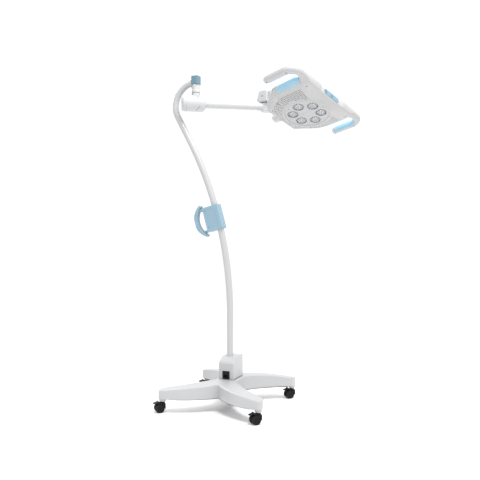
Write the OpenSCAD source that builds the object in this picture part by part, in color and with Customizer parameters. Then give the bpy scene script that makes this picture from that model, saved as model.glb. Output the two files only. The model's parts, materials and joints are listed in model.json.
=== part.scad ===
// Mobile surgical light: a four-castor base, a curved pole, a swivelling arm and a six-lamp head.
// Origin: on the floor, under the foot of the pole. +Z up, the mains inlet faces -Y.

/* [Base] */
// Distance between neighbouring castor stems
castor_spread = 566; // [520:1:620]
// Height of the domed top of the base at its centre
base_top = 156; // [146:1:164]
// Height of the underside of the legs
leg_under = 74; // [70:1:78]
// Width of the mains housing
housing_w = 98; // [90:1:110]
// Depth of the mains housing
housing_d = 142; // [130:1:150]
// Height of the mains housing where the pole enters it
housing_top = 282; // [270:1:294]

/* [Castors] */
// Diameter of each castor wheel
wheel_d = 50; // [46:1:51]
// Distance from the swivel axis back to the axle
castor_trail = 20; // [18:1:22]
// Heading of the trailing wheels
castor_heading = 231; // [200:1:260]

/* [Pole] */
// Outside diameter of the pole tube
pole_d = 38; // [34:1:40]
// Wall thickness of the pole tube
pole_wall = 2.5; // [2:0.5:3]
// Height where the long bend starts
bend_start = 514; // [494:1:534]
// Radius of the long bend
bend_r = 2150; // [2100:10:2200]
// Lean of the pole above the long bend, in degrees
bend_angle = 28.5; // [27:0.5:29]
// Length of the straight stretch above the long bend
lean_len = 165; // [150:1:180]
// Radius of the hook at the top
hook_r = 135; // [130:1:140]

/* [Arm] */
// Heading of the arm at rest, in degrees
arm_yaw = 35; // [0:1:60]
// Distance from the arm's swivel axis to the head's swivel axis
arm_len = 430; // [400:1:480]
// Height of the arm's axis
arm_z = 1756; // [1752:1:1760]
// Outside diameter of the arm tube
arm_d = 38; // [34:1:38]

/* [Head pose] */
// Heading of the head at rest, in degrees
head_yaw = -18.8; // [-30:0.1:30]
// Rise of the head's nose at rest, in degrees
head_pitch = 11.8; // [0:0.1:16]
// Roll of the head about its own nose axis at rest, in degrees
head_roll = -17.9; // [-25:0.1:20]

/* [Head] */
// Radius of the ring that the six lamps stand on
lamp_ring_r = 80; // [76:1:82]
// Radius of the round lamp panel
panel_r = 126; // [122:1:128]
// Half the head's width over its hand rails
rail_y = 325; // [318:1:330]
// Radius of the hand rails
rail_r = 21; // [19:1:22]
// Distance from the lamp centre back to the head's rear edge
head_back = 192; // [186:1:196]

/* [Hidden] */
$fn = 48;

enamel = [0.93, 0.93, 0.94];
pale = [0.85, 0.86, 0.87];
sky = [0.60, 0.78, 0.87];
cap_blue = [0.49, 0.65, 0.73];
black = [0.08, 0.08, 0.09];
steel = [0.72, 0.73, 0.75];

// running clearance on a radius, and the gap between parts that move past each other
fit = 0.05;
gap = 1;
// a little more than a face, so that cuts go right through
over = 2;

half = castor_spread / 2;
wheel_r = wheel_d / 2;
castor_names = ["fl", "fr", "br", "bl"];
castor_at = [[-half, -half], [half, -half], [half, half], [-half, half]];

// ---- base ----
dome_r = 2630;
wall = 6;
roof_t = wall + 2;
boss_low = 62;
boss_top = 121;
boss_r = 20;
stem_hole = 42;
hub_wall_r = 40;
stem_r = 5.5;
inner_bay = 62;
crease = 166;

function bezier(a, b, c, n) = [for (i = [0:n]) let(t = i / n)
    (1 - t) * (1 - t) * a + 2 * t * (1 - t) * b + t * t * c];

// outline of one quarter of the base seen from above, in the +X +Y corner, from the Y axis to the X axis
function quarter_outline(inset) = let(tip = half + 22 - inset, inner_tip = half - 34 + inset) concat(
    bezier([0, crease - inset], [118, 290 - inset], [half, half + 26 - inset], 9),
    bezier([half, half + 26 - inset], [tip, half + 26 - inset], [tip, half], 5),
    [[tip, half - 10]],
    bezier([tip - 6, inner_tip], [150, 190 + inset], [inner_bay, 60 + inset], 9),
    [[inner_bay - inset, 0]]
);

// an outline in another quarter, either whole or run backwards without its ends
function turned(points, sx, sy) = [for (p = points) [sx * p.x, sy * p.y]];
function turned_back(points, sx, sy) =
    [for (i = [len(points) - 2:-1:1]) [sx * points[i].x, sy * points[i].y]];

module base_plan(inset) {
    quarter = quarter_outline(inset);
    polygon(concat(turned(quarter, 1, 1), turned_back(quarter, 1, -1),
        turned(quarter, -1, -1), turned_back(quarter, -1, 1)));
}

module at_castors() {
    for (p = castor_at) translate([p.x, p.y, 0]) children();
}

module dome(drop) {
    translate([0, 0, base_top - dome_r]) sphere(r = dome_r - drop, $fn = 360);
}

module base_casting() {
    color(enamel) difference() {
        union() {
            difference() {
                intersection() {
                    translate([0, 0, leg_under]) linear_extrude(base_top) base_plan(0);
                    dome(0);
                }
                intersection() {
                    translate([0, 0, leg_under - over]) linear_extrude(base_top) base_plan(wall);
                    dome(roof_t);
                }
            }
            at_castors() translate([0, 0, boss_low]) cylinder(r = boss_r, h = boss_top - boss_low);
            translate([0, 0, leg_under]) cylinder(r = hub_wall_r, h = base_top - roof_t / 2 - leg_under);
        }
        at_castors() translate([0, 0, boss_low - over]) cylinder(r = stem_r, h = stem_hole);
        cylinder(r = socket_r, h = base_top + 20);
    }
}

plate_t = 2;
// the plate stops this far from each castor stem
plate_end_r = 46;
module base_underplate() {
    color(pale) difference() {
        translate([0, 0, leg_under - plate_t]) linear_extrude(plate_t) base_plan(3);
        at_castors() translate([0, 0, leg_under - 10]) cylinder(r = plate_end_r, h = 20);
        cylinder(r = socket_r, h = base_top);
    }
}

// ---- castors ----
stem_top = boss_low + stem_hole - 4;
fork_top = boss_low - 4;
fork_boss = 8;
stem_low = fork_top - fork_boss + 2;
axle_r = 4;
wheel_w = 20;
wheel_gap = 8;
web_t = wheel_gap - 2;
hood_w = 2 * wheel_w + wheel_gap;
hood_in = wheel_r + 2;
hood_out = wheel_r + 5;
// the brake pedal's pivot, from the stem
pedal_x = castor_trail + 6;
pedal_z = wheel_d + 8.6;
pedal_r = 3;
pedal_w = 26;
lug_t = 4;
lug_y = (pedal_w + lug_t + 1) / 2;
// how far the hood's square front reaches below the axle
hood_skirt = 5;
stem_collar_r = 11;
fork_boss_r = 13;

module castor_stems() {
    color(steel) at_castors() {
        translate([0, 0, stem_low]) cylinder(r = stem_r, h = stem_top - stem_low);
        translate([0, 0, fork_top + 0.5]) cylinder(r = stem_collar_r, h = boss_low - fork_top - 0.5);
    }
}

module at_castor(i) {
    translate([castor_at[i].x, castor_at[i].y, 0]) rotate([0, 0, castor_heading]) children();
}

// the swivelling body between the twin wheels, with its axle, its hood and the pedal's lugs
module castor_fork(i) {
    color(black) at_castor(i) difference() {
        union() {
            translate([0, 0, fork_top - fork_boss]) cylinder(r = fork_boss_r, h = fork_boss);
            translate([-2, -web_t / 2, wheel_r - 6]) cube([castor_trail + 4, web_t, fork_top - wheel_r]);
            translate([castor_trail, 0, wheel_r]) rotate([90, 0, 0]) {
                cylinder(r = 9, h = web_t, center = true);
                cylinder(r = axle_r, h = hood_w - 4, center = true);
            }
            castor_hood();
            for (s = [-1, 1]) translate([pedal_x - 5, s * lug_y - lug_t / 2, pedal_z - 5.6])
                cube([10, lug_t, 9]);
        }
        translate([0, 0, stem_low - fit]) cylinder(r = stem_r + fit, h = 20);
        translate([pedal_x, 0, pedal_z]) rotate([90, 0, 0])
            cylinder(r = pedal_r + fit, h = hood_w, center = true);
    }
}

// the hood over the twin wheels, round over their tops and square towards the stem
module castor_hood() {
    translate([castor_trail, 0, wheel_r]) rotate([90, 0, 0]) difference() {
        union() {
            intersection() {
                cylinder(r = hood_out, h = hood_w, center = true);
                translate([-over, 6, -hood_w / 2]) cube([8 + over, hood_out, hood_w]);
            }
            translate([-hood_out, -hood_skirt, -hood_w / 2])
                cube([hood_out, hood_out + hood_skirt - 1, hood_w]);
        }
        cylinder(r = hood_in, h = hood_w + over, center = true);
    }
}

module castor_wheels(i) {
    color(black) at_castor(i) translate([castor_trail, 0, wheel_r]) rotate([90, 0, 0])
        for (s = [-1, 1]) translate([0, 0, s * (wheel_gap + wheel_w) / 2]) difference() {
            union() {
                cylinder(r = wheel_r - 2, h = wheel_w, center = true);
                cylinder(r = wheel_r, h = wheel_w - 5, center = true);
            }
            cylinder(r = axle_r + fit, h = wheel_w + over, center = true);
            translate([0, 0, s * wheel_w / 2]) cylinder(r = wheel_r - 12, h = 8, center = true);
        }
}

// foot pedal that locks the wheels, hinged in the lugs on the hood
module castor_brake(i) {
    color(black) at_castor(i) translate([pedal_x, 0, pedal_z]) {
        rotate([90, 0, 0]) cylinder(r = pedal_r, h = pedal_w + 2 * lug_t, center = true);
        rotate([0, 14, 0]) translate([1, -pedal_w / 2, -1]) cube([30, pedal_w, 4]);
    }
}

// ---- mains housing ----
housing_y = 13;
housing_low = 150;
housing_front = 254;
shell_t = 3;
housing_round = 12;
inlet_w = 40;
inlet_h = 42;
inlet_z = 181;
housing_face = housing_y - housing_d / 2;

module housing_side(inset) {
    y0 = housing_face + inset;
    y1 = housing_face + housing_d - inset;
    polygon([
        [y0, housing_low - (inset > 0 ? 10 : 0)], [y1, housing_low - (inset > 0 ? 10 : 0)],
        [y1, housing_top - 8 - inset], [y1 - 8, housing_top - inset],
        [-14, housing_top - inset], [y0 + 10, housing_front + 6 - inset], [y0, housing_front - 6 - inset]
    ]);
}

module housing_block(inset) {
    w = housing_w - 2 * inset;
    rotate([90, 0, 90]) translate([0, 0, -w / 2]) linear_extrude(w) housing_side(inset);
}

module rounded_column(w, d, r, low, high) {
    translate([0, 0, low]) linear_extrude(high - low) union() {
        square([w - 2 * r, d], center = true);
        square([w, d - 2 * r], center = true);
        for (sx = [-1, 1], sy = [-1, 1])
            translate([sx * (w / 2 - r), sy * (d / 2 - r)]) circle(r = r);
    }
}

module mains_housing() {
    color(enamel) difference() {
        intersection() {
            housing_block(0);
            translate([0, housing_y, 0])
                rounded_column(housing_w, housing_d, housing_round, housing_low, housing_top + 5);
        }
        intersection() {
            housing_block(shell_t);
            translate([0, housing_y, 0]) rounded_column(housing_w - 2 * shell_t, housing_d - 2 * shell_t,
                housing_round - shell_t, housing_low - 12, housing_top);
        }
        translate([-inlet_w / 2, housing_face - over, inlet_z - inlet_h / 2]) cube([inlet_w, 12, inlet_h]);
        cylinder(r = pole_d / 2 + 1, h = housing_top + 20);
        dome(-0.5);
    }
}

module mains_inlet() {
    color(black) translate([0, housing_face, inlet_z]) difference() {
        union() {
            translate([-inlet_w / 2 + 0.2, -1, -inlet_h / 2 + 0.2]) cube([inlet_w - 0.4, 24, inlet_h - 0.4]);
            translate([-inlet_w / 2 - 2, -2, -inlet_h / 2 - 2]) cube([inlet_w + 4, 1.8, inlet_h + 4]);
        }
        translate([-13, -over - 1, -16]) cube([26, 17, 18]);
        translate([-12, -over - 1, 6]) cube([24, 3, 11]);
    }
}

module power_supply() {
    color(pale) translate([-34, 30, housing_low + 20]) cube([68, 44, 84]);
}

// ---- pole ----
socket_r = 26;
pole_r = pole_d / 2;
socket_low = leg_under - 2;
pole_low = socket_low + 6;
bend_x = -bend_r * (1 - cos(bend_angle));
bend_z = bend_start + bend_r * sin(bend_angle);
lean_x = bend_x - lean_len * sin(bend_angle);
lean_z = bend_z + lean_len * cos(bend_angle);
hook_x = lean_x + hook_r * cos(bend_angle);
hook_z = lean_z + hook_r * sin(bend_angle);
tube_z = hook_z + hook_r;

module pole_socket() {
    color(steel) translate([0, 0, socket_low]) difference() {
        cylinder(r = socket_r, h = 150);
        translate([0, 0, pole_low - socket_low]) cylinder(r = pole_r, h = 160);
    }
}

module ring(r, bore) {
    difference() {
        circle(r = r);
        if (bore > 0) circle(r = bore);
    }
}

// the straight foot and the long bend
module pole_lower() {
    color(enamel) {
        translate([0, 0, pole_low]) linear_extrude(bend_start - pole_low) ring(pole_r, pole_r - pole_wall);
        translate([-bend_r, 0, bend_start]) rotate([90, 0, 0]) rotate_extrude(angle = bend_angle, $fn = 720)
            translate([bend_r, 0]) ring(pole_r, pole_r - pole_wall);
    }
}

// the straight stretch and the hook above the long bend, as a rod of radius r with a bore of radius bore
module hook(r, bore) {
    translate([bend_x, 0, bend_z]) rotate([0, -bend_angle, 0]) {
        linear_extrude(lean_len) ring(r, bore);
        translate([hook_r, 0, lean_len]) mirror([1, 0, 0]) rotate([90, 0, 0])
            rotate_extrude(angle = 90 + bend_angle, $fn = 144) translate([hook_r, 0]) ring(r, bore);
    }
}

module pole_upper() {
    color(enamel) hook(pole_r, pole_r - pole_wall);
}

// ---- push handle on the pole ----
handle_turn = 15.4;
handle_h = 145;
handle_depth = 60;
handle_left = -83;
handle_right = 25;
grip_r = 115;
grip_t = 16;
grip_x = -33;
grip_depth = 38;
grip_half_angle = 58;
// the pole is slightly curved inside the straight clamp bore
clamp_fit = 1.3;

// the frame of the handle: +Z along the pole, -X towards the hand
module at_handle() {
    translate([-bend_r, 0, bend_start]) rotate([0, -handle_turn, 0]) translate([bend_r, 0, 0]) children();
}

module handle_clamp() {
    color(sky) difference() {
        at_handle() intersection() {
            translate([handle_left, -handle_depth / 2, -handle_h / 2])
                cube([handle_right - handle_left, handle_depth, handle_h]);
            rotate([90, 0, 0]) translate([handle_left + 150, 0, 0])
                cylinder(r = 162, h = 2 * handle_depth, center = true, $fn = 96);
        }
        at_handle() cylinder(r = pole_r + clamp_fit, h = 2 * handle_h, center = true);
        at_handle() for (z = [-48, 48]) translate([-60, -handle_depth / 2 - over, z]) rotate([-90, 0, 0])
            cylinder(r = 3.5, h = handle_depth + 2 * over);
    }
}

module handle_grip() {
    color(sky) at_handle() {
        rotate([90, 0, 0]) translate([grip_x, 0, -grip_depth / 2]) rotate([0, 0, 180 - grip_half_angle])
            rotate_extrude(angle = 2 * grip_half_angle, $fn = 96)
                translate([grip_r - grip_t, 0]) square([grip_t, grip_depth]);
        for (z = [-1, 1]) translate([-98, -11, z * 64 - 7]) cube([14.8, 22, 14]);
    }
}

module handle_screws() {
    color(steel) at_handle() for (z = [-48, 48])
        translate([-60, 0, z]) rotate([90, 0, 0]) cylinder(r = 3.4, h = handle_depth - 2, center = true);
}

// ---- mast head and swivel ----
mast_r = 23;
mast_low = 1820;
cap_low = mast_low + 48;
cap_top = tube_z + 35;
cap_size = 50;
// half the width of the notch that lets the pole into the cap
notch_r = pole_r + 0.3;
mast_top = tube_z + pole_r + 3;
// the thin web under the hook's end
web_w = 12;
web_low = mast_low + 26;
spigot_r = 10;
spigot_low = arm_z + 12;
washer_low = mast_low - 3;
block_top = washer_low;
pivot_r = 8;
tongue_w = 36;
tongue_t = 50;
eye_r = 20;

module at_mast(z) {
    translate([hook_x, 0, z]) children();
}

module mast_head() {
    color(pale) difference() {
        union() {
            at_mast(mast_low) cylinder(r = mast_r, h = mast_top - mast_low);
            at_mast(mast_low) cylinder(r = mast_r + 2, h = 14);
            at_mast(0) rotate([90, 0, 0]) linear_extrude(web_w, center = true)
                polygon([[0, web_low], [5 - mast_r, web_low], [-mast_r - 30, tube_z - 6], [0, tube_z]]);
        }
        at_mast(mast_low - over) cylinder(r = spigot_r, h = 36);
        hook(pole_r + 0.2, 0);
    }
}

module mast_cap() {
    color(cap_blue) difference() {
        at_mast(cap_low) rounded_column(cap_size, cap_size, 15, 0, cap_top - cap_low);
        at_mast(cap_low - over) cylinder(r = mast_r, h = mast_top - cap_low + over);
        translate([hook_x - 60, 0, tube_z]) rotate([0, 90, 0]) cylinder(r = notch_r, h = 62);
        translate([hook_x - 60, -notch_r, cap_low - over])
            cube([62, 2 * notch_r, tube_z - cap_low + over]);
    }
}

module arm_spigot() {
    color(steel) at_mast(spigot_low) cylinder(r = spigot_r, h = mast_low + 34 - spigot_low);
}

// everything on the arm swivel turns about the spigot
module at_arm() {
    translate([hook_x, 0, arm_z]) rotate([0, 0, arm_yaw]) children();
}

module swivel_washer() {
    color(black) at_mast(washer_low + 0.2) difference() {
        cylinder(r = mast_r, h = 2.4);
        translate([0, 0, -over]) cylinder(r = spigot_r + fit, h = 10);
    }
}

module swivel_block() {
    color(enamel) at_arm() difference() {
        union() {
            translate([0, 0, block_top - arm_z - 7]) cylinder(r = 25, h = 7);
            translate([-tongue_w / 2, -tongue_t / 2, 0]) cube([tongue_w, tongue_t, block_top - arm_z - 6]);
            rotate([90, 0, 0]) cylinder(r = eye_r, h = tongue_t, center = true);
        }
        translate([0, 0, spigot_low - arm_z - 1]) cylinder(r = spigot_r + fit, h = 60);
        rotate([90, 0, 0]) cylinder(r = pivot_r + fit, h = tongue_t + over, center = true);
    }
}

drum_r = 46;
drum_rear = -60;
drum_front = 42;
drum_nose = 60;
slot_rear = -56;
slot_front = 41;
cap_len = 24;

// ---- arm ----
module arm_pivot_pin() {
    color(steel) at_arm() rotate([90, 0, 0]) cylinder(r = pivot_r, h = 82, center = true);
}

module arm_drum() {
    color(enamel) at_arm() difference() {
        rotate([0, 90, 0]) union() {
            translate([0, 0, drum_rear]) cylinder(r = drum_r, h = drum_front - drum_rear);
            translate([0, 0, drum_front])
                cylinder(r1 = drum_r, r2 = arm_d / 2 + 5, h = drum_nose - drum_front);
        }
        translate([slot_rear, -tongue_t / 2 - gap, -eye_r - gap])
            cube([slot_front - slot_rear, tongue_t + 2 * gap, 2 * drum_r]);
        rotate([90, 0, 0]) cylinder(r = pivot_r, h = 82, center = true);
        translate([drum_front + 1, 0, 0]) rotate([0, 90, 0]) cylinder(r = arm_d / 2, h = 30);
    }
}

module drum_cap() {
    color(enamel) at_arm() translate([drum_rear - 0.3, 0, 0]) rotate([0, -90, 0]) {
        cylinder(r = drum_r, h = cap_len - 10);
        translate([0, 0, cap_len - 10]) intersection() {
            cylinder(r = drum_r, h = 10);
            rotate_extrude() {
                square([drum_r - 10, 10]);
                translate([drum_r - 10, 0]) circle(r = 10);
            }
        }
    }
}

hub_r = 31;
hub_low = -28;
hub_high = 24;
yaw_r = 11;

module arm_tube() {
    color(enamel) at_arm() rotate([0, 90, 0]) difference() {
        translate([0, 0, drum_front + 1]) cylinder(r = arm_d / 2, h = arm_len - 20 - drum_front);
        translate([0, 0, drum_front]) cylinder(r = arm_d / 2 - 2.5, h = arm_len);
    }
}

module arm_end_hub() {
    color(enamel) at_arm() difference() {
        union() {
            translate([arm_len, 0, hub_low]) cylinder(r = hub_r, h = hub_high - hub_low);
            translate([arm_len - 52, 0, 0]) rotate([0, 90, 0]) cylinder(r = arm_d / 2 + 3, h = 40);
        }
        translate([arm_len - 60, 0, 0]) rotate([0, 90, 0]) cylinder(r = arm_d / 2, h = 41);
        translate([arm_len, 0, hub_low + 6]) cylinder(r = yaw_r + fit, h = 80);
    }
}

// ---- knuckle: swivels about the arm's end, and carries the tilt pin ----
pin_drop = 63;
pin_r = 7;
neck_half = 19;
ear_outer = 39;
base_low = 27;
base_high = 40;

module at_yaw() {
    at_arm() translate([arm_len, 0, 0]) rotate([0, 0, head_yaw - arm_yaw]) children();
}

module yaw_washer() {
    color(black) at_yaw() translate([0, 0, hub_high + 0.2]) difference() {
        cylinder(r = hub_r - 2, h = 2.6);
        translate([0, 0, -over]) cylinder(r = yaw_r, h = 10);
    }
}

module yaw_pin() {
    color(steel) at_yaw() translate([0, 0, hub_low + 8]) cylinder(r = yaw_r, h = base_high - hub_low - 8);
}

module knuckle() {
    color(pale) at_yaw() difference() {
        rotate([90, 0, 0]) translate([0, 0, -ear_outer]) linear_extrude(2 * ear_outer)
            polygon([[-30, base_low], [-46, 42], [-30, 92], [-22, 99], [26, 99], [36, 88], [36, base_low]]);
        translate([0, 0, pin_drop]) rotate([90, 0, 0]) cylinder(r = pin_r, h = 100, center = true);
        translate([-26, -neck_half - gap, base_high]) cube([80, 2 * (neck_half + gap), 70]);
        rotate([90, 0, 0]) linear_extrude(2 * (neck_half + gap), center = true)
            polygon([[14, base_high + 1], [14, base_high], [40, base_low - over], [40, base_high + 1]]);
        translate([0, 0, base_low - over]) cylinder(r = yaw_r, h = base_high);
    }
}

module pitch_pin() {
    color(steel) at_yaw() translate([0, 0, pin_drop]) rotate([90, 0, 0])
        cylinder(r = pin_r, h = 2 * ear_outer, center = true);
}

// ---- neck: tilts on the pin, and carries the head's roll shaft ----
roll_drop = 152;
roll_bearing_front = 80;
roll_bearing_rear = 40;
roll_bearing_r = 27;
shaft_r = 12;
head_ahead = 277;
// height of the roll shaft above the lamp face
roll_up = 61;

module at_pitch() {
    at_yaw() translate([0, 0, pin_drop]) rotate([0, -head_pitch, 0]) children();
}

module neck() {
    color(enamel) at_pitch() difference() {
        union() {
            rotate([90, 0, 0]) cylinder(r = 21, h = 2 * neck_half, center = true);
            rotate([90, 0, 0]) translate([0, 0, -neck_half]) linear_extrude(2 * neck_half) polygon([
                [0, 21], [56, 21], [78, 4], [80, -roll_drop], [58, -roll_drop], [57, -12], [0, -12]
            ]);
            translate([roll_bearing_rear, 0, -roll_drop]) rotate([0, 90, 0])
                cylinder(r = roll_bearing_r, h = roll_bearing_front - roll_bearing_rear);
        }
        rotate([90, 0, 0]) cylinder(r = pin_r + fit, h = 60, center = true);
        translate([0, 0, -roll_drop]) rotate([0, 90, 0]) cylinder(r = shaft_r + fit, h = 200);
    }
}

// the head's own frame: origin at the middle of the lamp ring, +X forward, +Z away from the lamps
module at_head() {
    at_pitch() translate([head_ahead, 0, -roll_drop]) rotate([head_roll, 0, 0]) translate([0, 0, -roll_up])
        children();
}

module roll_shaft() {
    color(steel) at_head() translate([0, 0, roll_up]) rotate([0, 90, 0]) {
        translate([0, 0, -246]) cylinder(r = shaft_r, h = 246 - head_back + 40);
        translate([0, 0, -246]) cylinder(r = 19, h = 246 + roll_bearing_rear - head_ahead - 1);
        translate([0, 0, 11 - head_back]) cylinder(r = 18, h = 8);
    }
}

// ---- head shells ----
nose_x = 168;
rim_z = 28;
brow_z = 75;
roof_z = 97;
side_low = 209;
side_slope = 42 / 45;
skin = 3;

// the body seen from below, at a height z up its sloping side walls
module body_plan(z, inset) {
    w = side_low + side_slope * (z - rim_z) - inset;
    b = head_back - inset;
    t = w / side_low;
    half_plan = [[nose_x - inset, w - 14], [nose_x - 14, w], [-44, w], [-70, w - 6], [-130, 160 * t - inset],
        [8 - b, 126 * t - inset], [-b, 112 * t - inset]];
    polygon(concat(half_plan, [for (i = [len(half_plan) - 1:-1:0]) [half_plan[i].x, -half_plan[i].y]]));
}

module slab(z, inset) {
    translate([0, 0, z]) linear_extrude(0.01) body_plan(z, inset);
}

module lower_hull(inset) {
    hull() {
        translate([0, 0, inset]) cylinder(r = panel_r + 8 - inset, h = 0.01, $fn = 64);
        slab(rim_z + inset / 3, inset);
        slab(roll_up, inset);
    }
}

module roof_plan(inset) {
    for (sx = [-1, 1], sy = [-1, 1])
        translate([(sx > 0 ? 62 : -112), sy * 112]) circle(r = 50 - inset, $fn = 32);
}

module upper_hull(inset) {
    hull() {
        slab(roll_up, inset);
        slab(brow_z - inset / 2, inset);
        translate([0, 0, roof_z - inset]) linear_extrude(0.01) roof_plan(inset);
    }
}

rail_corner = 60;
rail_tip = -48;
rail_root = 170;
rail_turn_x = nose_x + 3 - rail_r - rail_corner;

// a straight bar along +X, with a round end behind its start
module round_ended_bar(r, length) {
    rotate([0, 90, 0]) rotate_extrude() intersection() {
        union() {
            circle(r = r);
            square([r, length]);
        }
        translate([0, -r]) square([r, length + r]);
    }
}

// both hand rails: back from the nose corners, with rounded tips
module rails(r) {
    for (s = [0, 1]) mirror([0, s, 0]) translate([0, 0, roll_up]) {
        translate([rail_tip + rail_r, rail_y, 0]) round_ended_bar(r, rail_turn_x - rail_tip - rail_r);
        translate([rail_turn_x, rail_y - rail_corner, 0])
            rotate_extrude(angle = 90) translate([rail_corner, 0]) circle(r = r);
        translate([rail_turn_x + rail_corner, rail_root, 0]) rotate([-90, 0, 0])
            cylinder(r = r, h = rail_y - rail_corner - rail_root);
    }
}

grille_front = 100;
grille_margin = 15;
module grille_plan(inset) {
    difference() {
        intersection() {
            body_plan(rim_z, grille_margin + inset);
            translate([-300, -300]) square([300 + grille_front - inset, 600]);
        }
        circle(r = panel_r + 14 + inset, $fn = 96);
    }
}

// every screw on the underside: place and the height of its head
screw_spots = [[-28, rail_y, 40], [106, rail_y, 40], [136, 184, 20], [-180, 113, 26], [-88, 156, 12]];
screw_r = 4;
module at_screws() {
    for (p = screw_spots, s = [-1, 1]) translate([p.x, s * p.y, p.z]) children();
}

module below_seam() {
    translate([-400, -400, -20]) cube([800, 800, 20 + roll_up - 0.1]);
}

module above_seam() {
    translate([-400, -400, roll_up + 0.1]) cube([800, 800, 100]);
}

module head_lower_shell() {
    color(pale) at_head() difference() {
        intersection() {
            union() {
                difference() {
                    lower_hull(0);
                    lower_hull(skin);
                }
                difference() {
                    rails(rail_r);
                    rails(rail_r - skin);
                    upper_hull(skin);
                    lower_hull(skin);
                }
            }
            below_seam();
        }
        translate([0, 0, -over]) cylinder(r = panel_r + 0.3, h = 30);
        translate([0, 0, -over]) linear_extrude(rim_z + 10) grille_plan(0);
        translate([-300, 0, roll_up]) rotate([0, 90, 0]) cylinder(r = shaft_r + 0.5, h = 130);
        at_screws() translate([0, 0, -over]) cylinder(r = screw_r + 0.2, h = 8);
    }
}

module vent_grille() {
    color(pale) at_head() difference() {
        intersection() {
            difference() {
                lower_hull(0.6);
                lower_hull(skin);
            }
            translate([0, 0, -over]) linear_extrude(rim_z + 8) grille_plan(0.3);
        }
        at_screws() translate([0, 0, -over]) cylinder(r = screw_r + 0.2, h = 8);
    }
}

module head_upper_shell() {
    color(enamel) at_head() difference() {
        intersection() {
            union() {
                difference() {
                    upper_hull(0);
                    upper_hull(skin);
                }
                difference() {
                    rails(rail_r);
                    rails(rail_r - skin);
                    upper_hull(skin);
                }
            }
            above_seam();
        }
        translate([-300, 0, roll_up]) rotate([0, 90, 0]) cylinder(r = shaft_r + 0.5, h = 130);
    }
}

module head_screws() {
    color(black) at_head() at_screws() cylinder(r = screw_r, h = 5);
}

// ---- lamps ----
lamp_r = 29;
module at_lamps() {
    for (i = [0:5]) rotate([0, 0, 30 + 60 * i]) translate([lamp_ring_r, 0, 0]) children();
}

module lamp_panel() {
    color(pale) at_head() difference() {
        union() {
            cylinder(r = panel_r, h = 5);
            cylinder(r = panel_r - 3, h = 9);
        }
        translate([0, 0, -over]) cylinder(r = panel_r - 7, h = over + 2);
        translate([0, 0, 6]) cylinder(r = panel_r - 6, h = 10);
        at_lamps() translate([0, 0, -over]) cylinder(r = lamp_r + 1, h = 20);
    }
}

cup_top = 26;
module reflectors() {
    color(steel) at_head() at_lamps() difference() {
        union() {
            translate([0, 0, 6.3]) cylinder(r = lamp_r + 4, h = 1.7);
            cylinder(r = lamp_r + 0.8, h = 8);
            translate([0, 0, 8]) cylinder(r1 = lamp_r + 0.8, r2 = 11, h = cup_top - 8);
        }
        translate([0, 0, 4]) cylinder(r1 = lamp_r - 1, r2 = 9, h = cup_top - 4);
        translate([0, 0, -over]) cylinder(r = lamp_r - 1, h = over + 4.01);
        translate([0, 0, cup_top - 1]) cylinder(r = 9, h = 10);
    }
}

module lens_covers() {
    color([0.9, 0.95, 1, 0.4]) at_head() at_lamps() translate([0, 0, 1.5]) cylinder(r = lamp_r - 1, h = 2.5);
}

module led_board() {
    color([0.1, 0.4, 0.25]) at_head() translate([0, 0, cup_top + 1]) difference() {
        cylinder(r = 116, h = 1.6);
        translate([0, 0, -over]) cylinder(r = 8, h = 10);
    }
}

module led_chips() {
    color([1, 0.9, 0.5]) at_head() at_lamps() translate([-4, -4, cup_top - 1.5]) cube([8, 8, 2.5]);
}

module heat_sink() {
    color(steel) at_head() translate([0, 0, cup_top + 2.6]) {
        cylinder(r = 112, h = 6);
        for (i = [-6:6]) translate([-84, i * 13 - 1.5, 5]) cube([168, 3, 34]);
    }
}

module driver_board() {
    color([0.1, 0.35, 0.5]) at_head() {
        translate([-140, -96, 40]) cube([1.6, 60, 34]);
        translate([-140, 36, 40]) cube([1.6, 60, 34]);
        translate([-138.4, -86, 46]) cube([10, 26, 20]);
        translate([-138.4, 50, 46]) cube([10, 26, 20]);
    }
}

// ---- soft grips ----
pad_t = 2.4;
side_tilt = 133;
rail_pad_rear = rail_tip + 28;
module grip_pad() {
    translate([0, -side_low, rim_z]) rotate([side_tilt, 0, 0]) translate([0, 0, 0.1])
        linear_extrude(pad_t) hull() {
            translate([96, 32]) circle(r = 23, $fn = 32);
            translate([-22, 30]) circle(r = 18, $fn = 32);
        }
}

// section of the pad on a rail, open towards +x, away from the body
module rail_pad_section() {
    reach = 2 * rail_r;
    intersection() {
        ring(rail_r + pad_t, rail_r + 0.1);
        polygon([[0, 0], for (a = [110, 175, 240]) reach * [cos(a), sin(a)]]);
    }
}

// the soft lining on the side of a rail that faces the body
module rail_pad() {
    translate([rail_pad_rear, -rail_y, roll_up]) rotate([90, 0, 90])
        linear_extrude(rail_turn_x - rail_pad_rear) mirror([1, 0]) rail_pad_section();
    translate([rail_turn_x, rail_corner - rail_y, roll_up]) rotate([0, 0, -90])
        rotate_extrude(angle = 60) translate([rail_corner, 0]) rail_pad_section();
}

module grip_pad_right() {
    color(sky) at_head() grip_pad();
}

module grip_pad_left() {
    color(sky) at_head() mirror([0, 1, 0]) grip_pad();
}

module rail_pad_right() {
    color(sky) at_head() rail_pad();
}

module rail_pad_left() {
    color(sky) at_head() mirror([0, 1, 0]) rail_pad();
}

// ---- switches on the nose ----
switch_w = 136;
switch_h = 30;
switch_z = 50;
switch_t = 2;
power_y = -54;
dimmer_y = 4;
button_travel = 1;

module at_switch(y) {
    translate([nose_x, y, switch_z]) rotate([0, 90, 0]) children();
}

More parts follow.
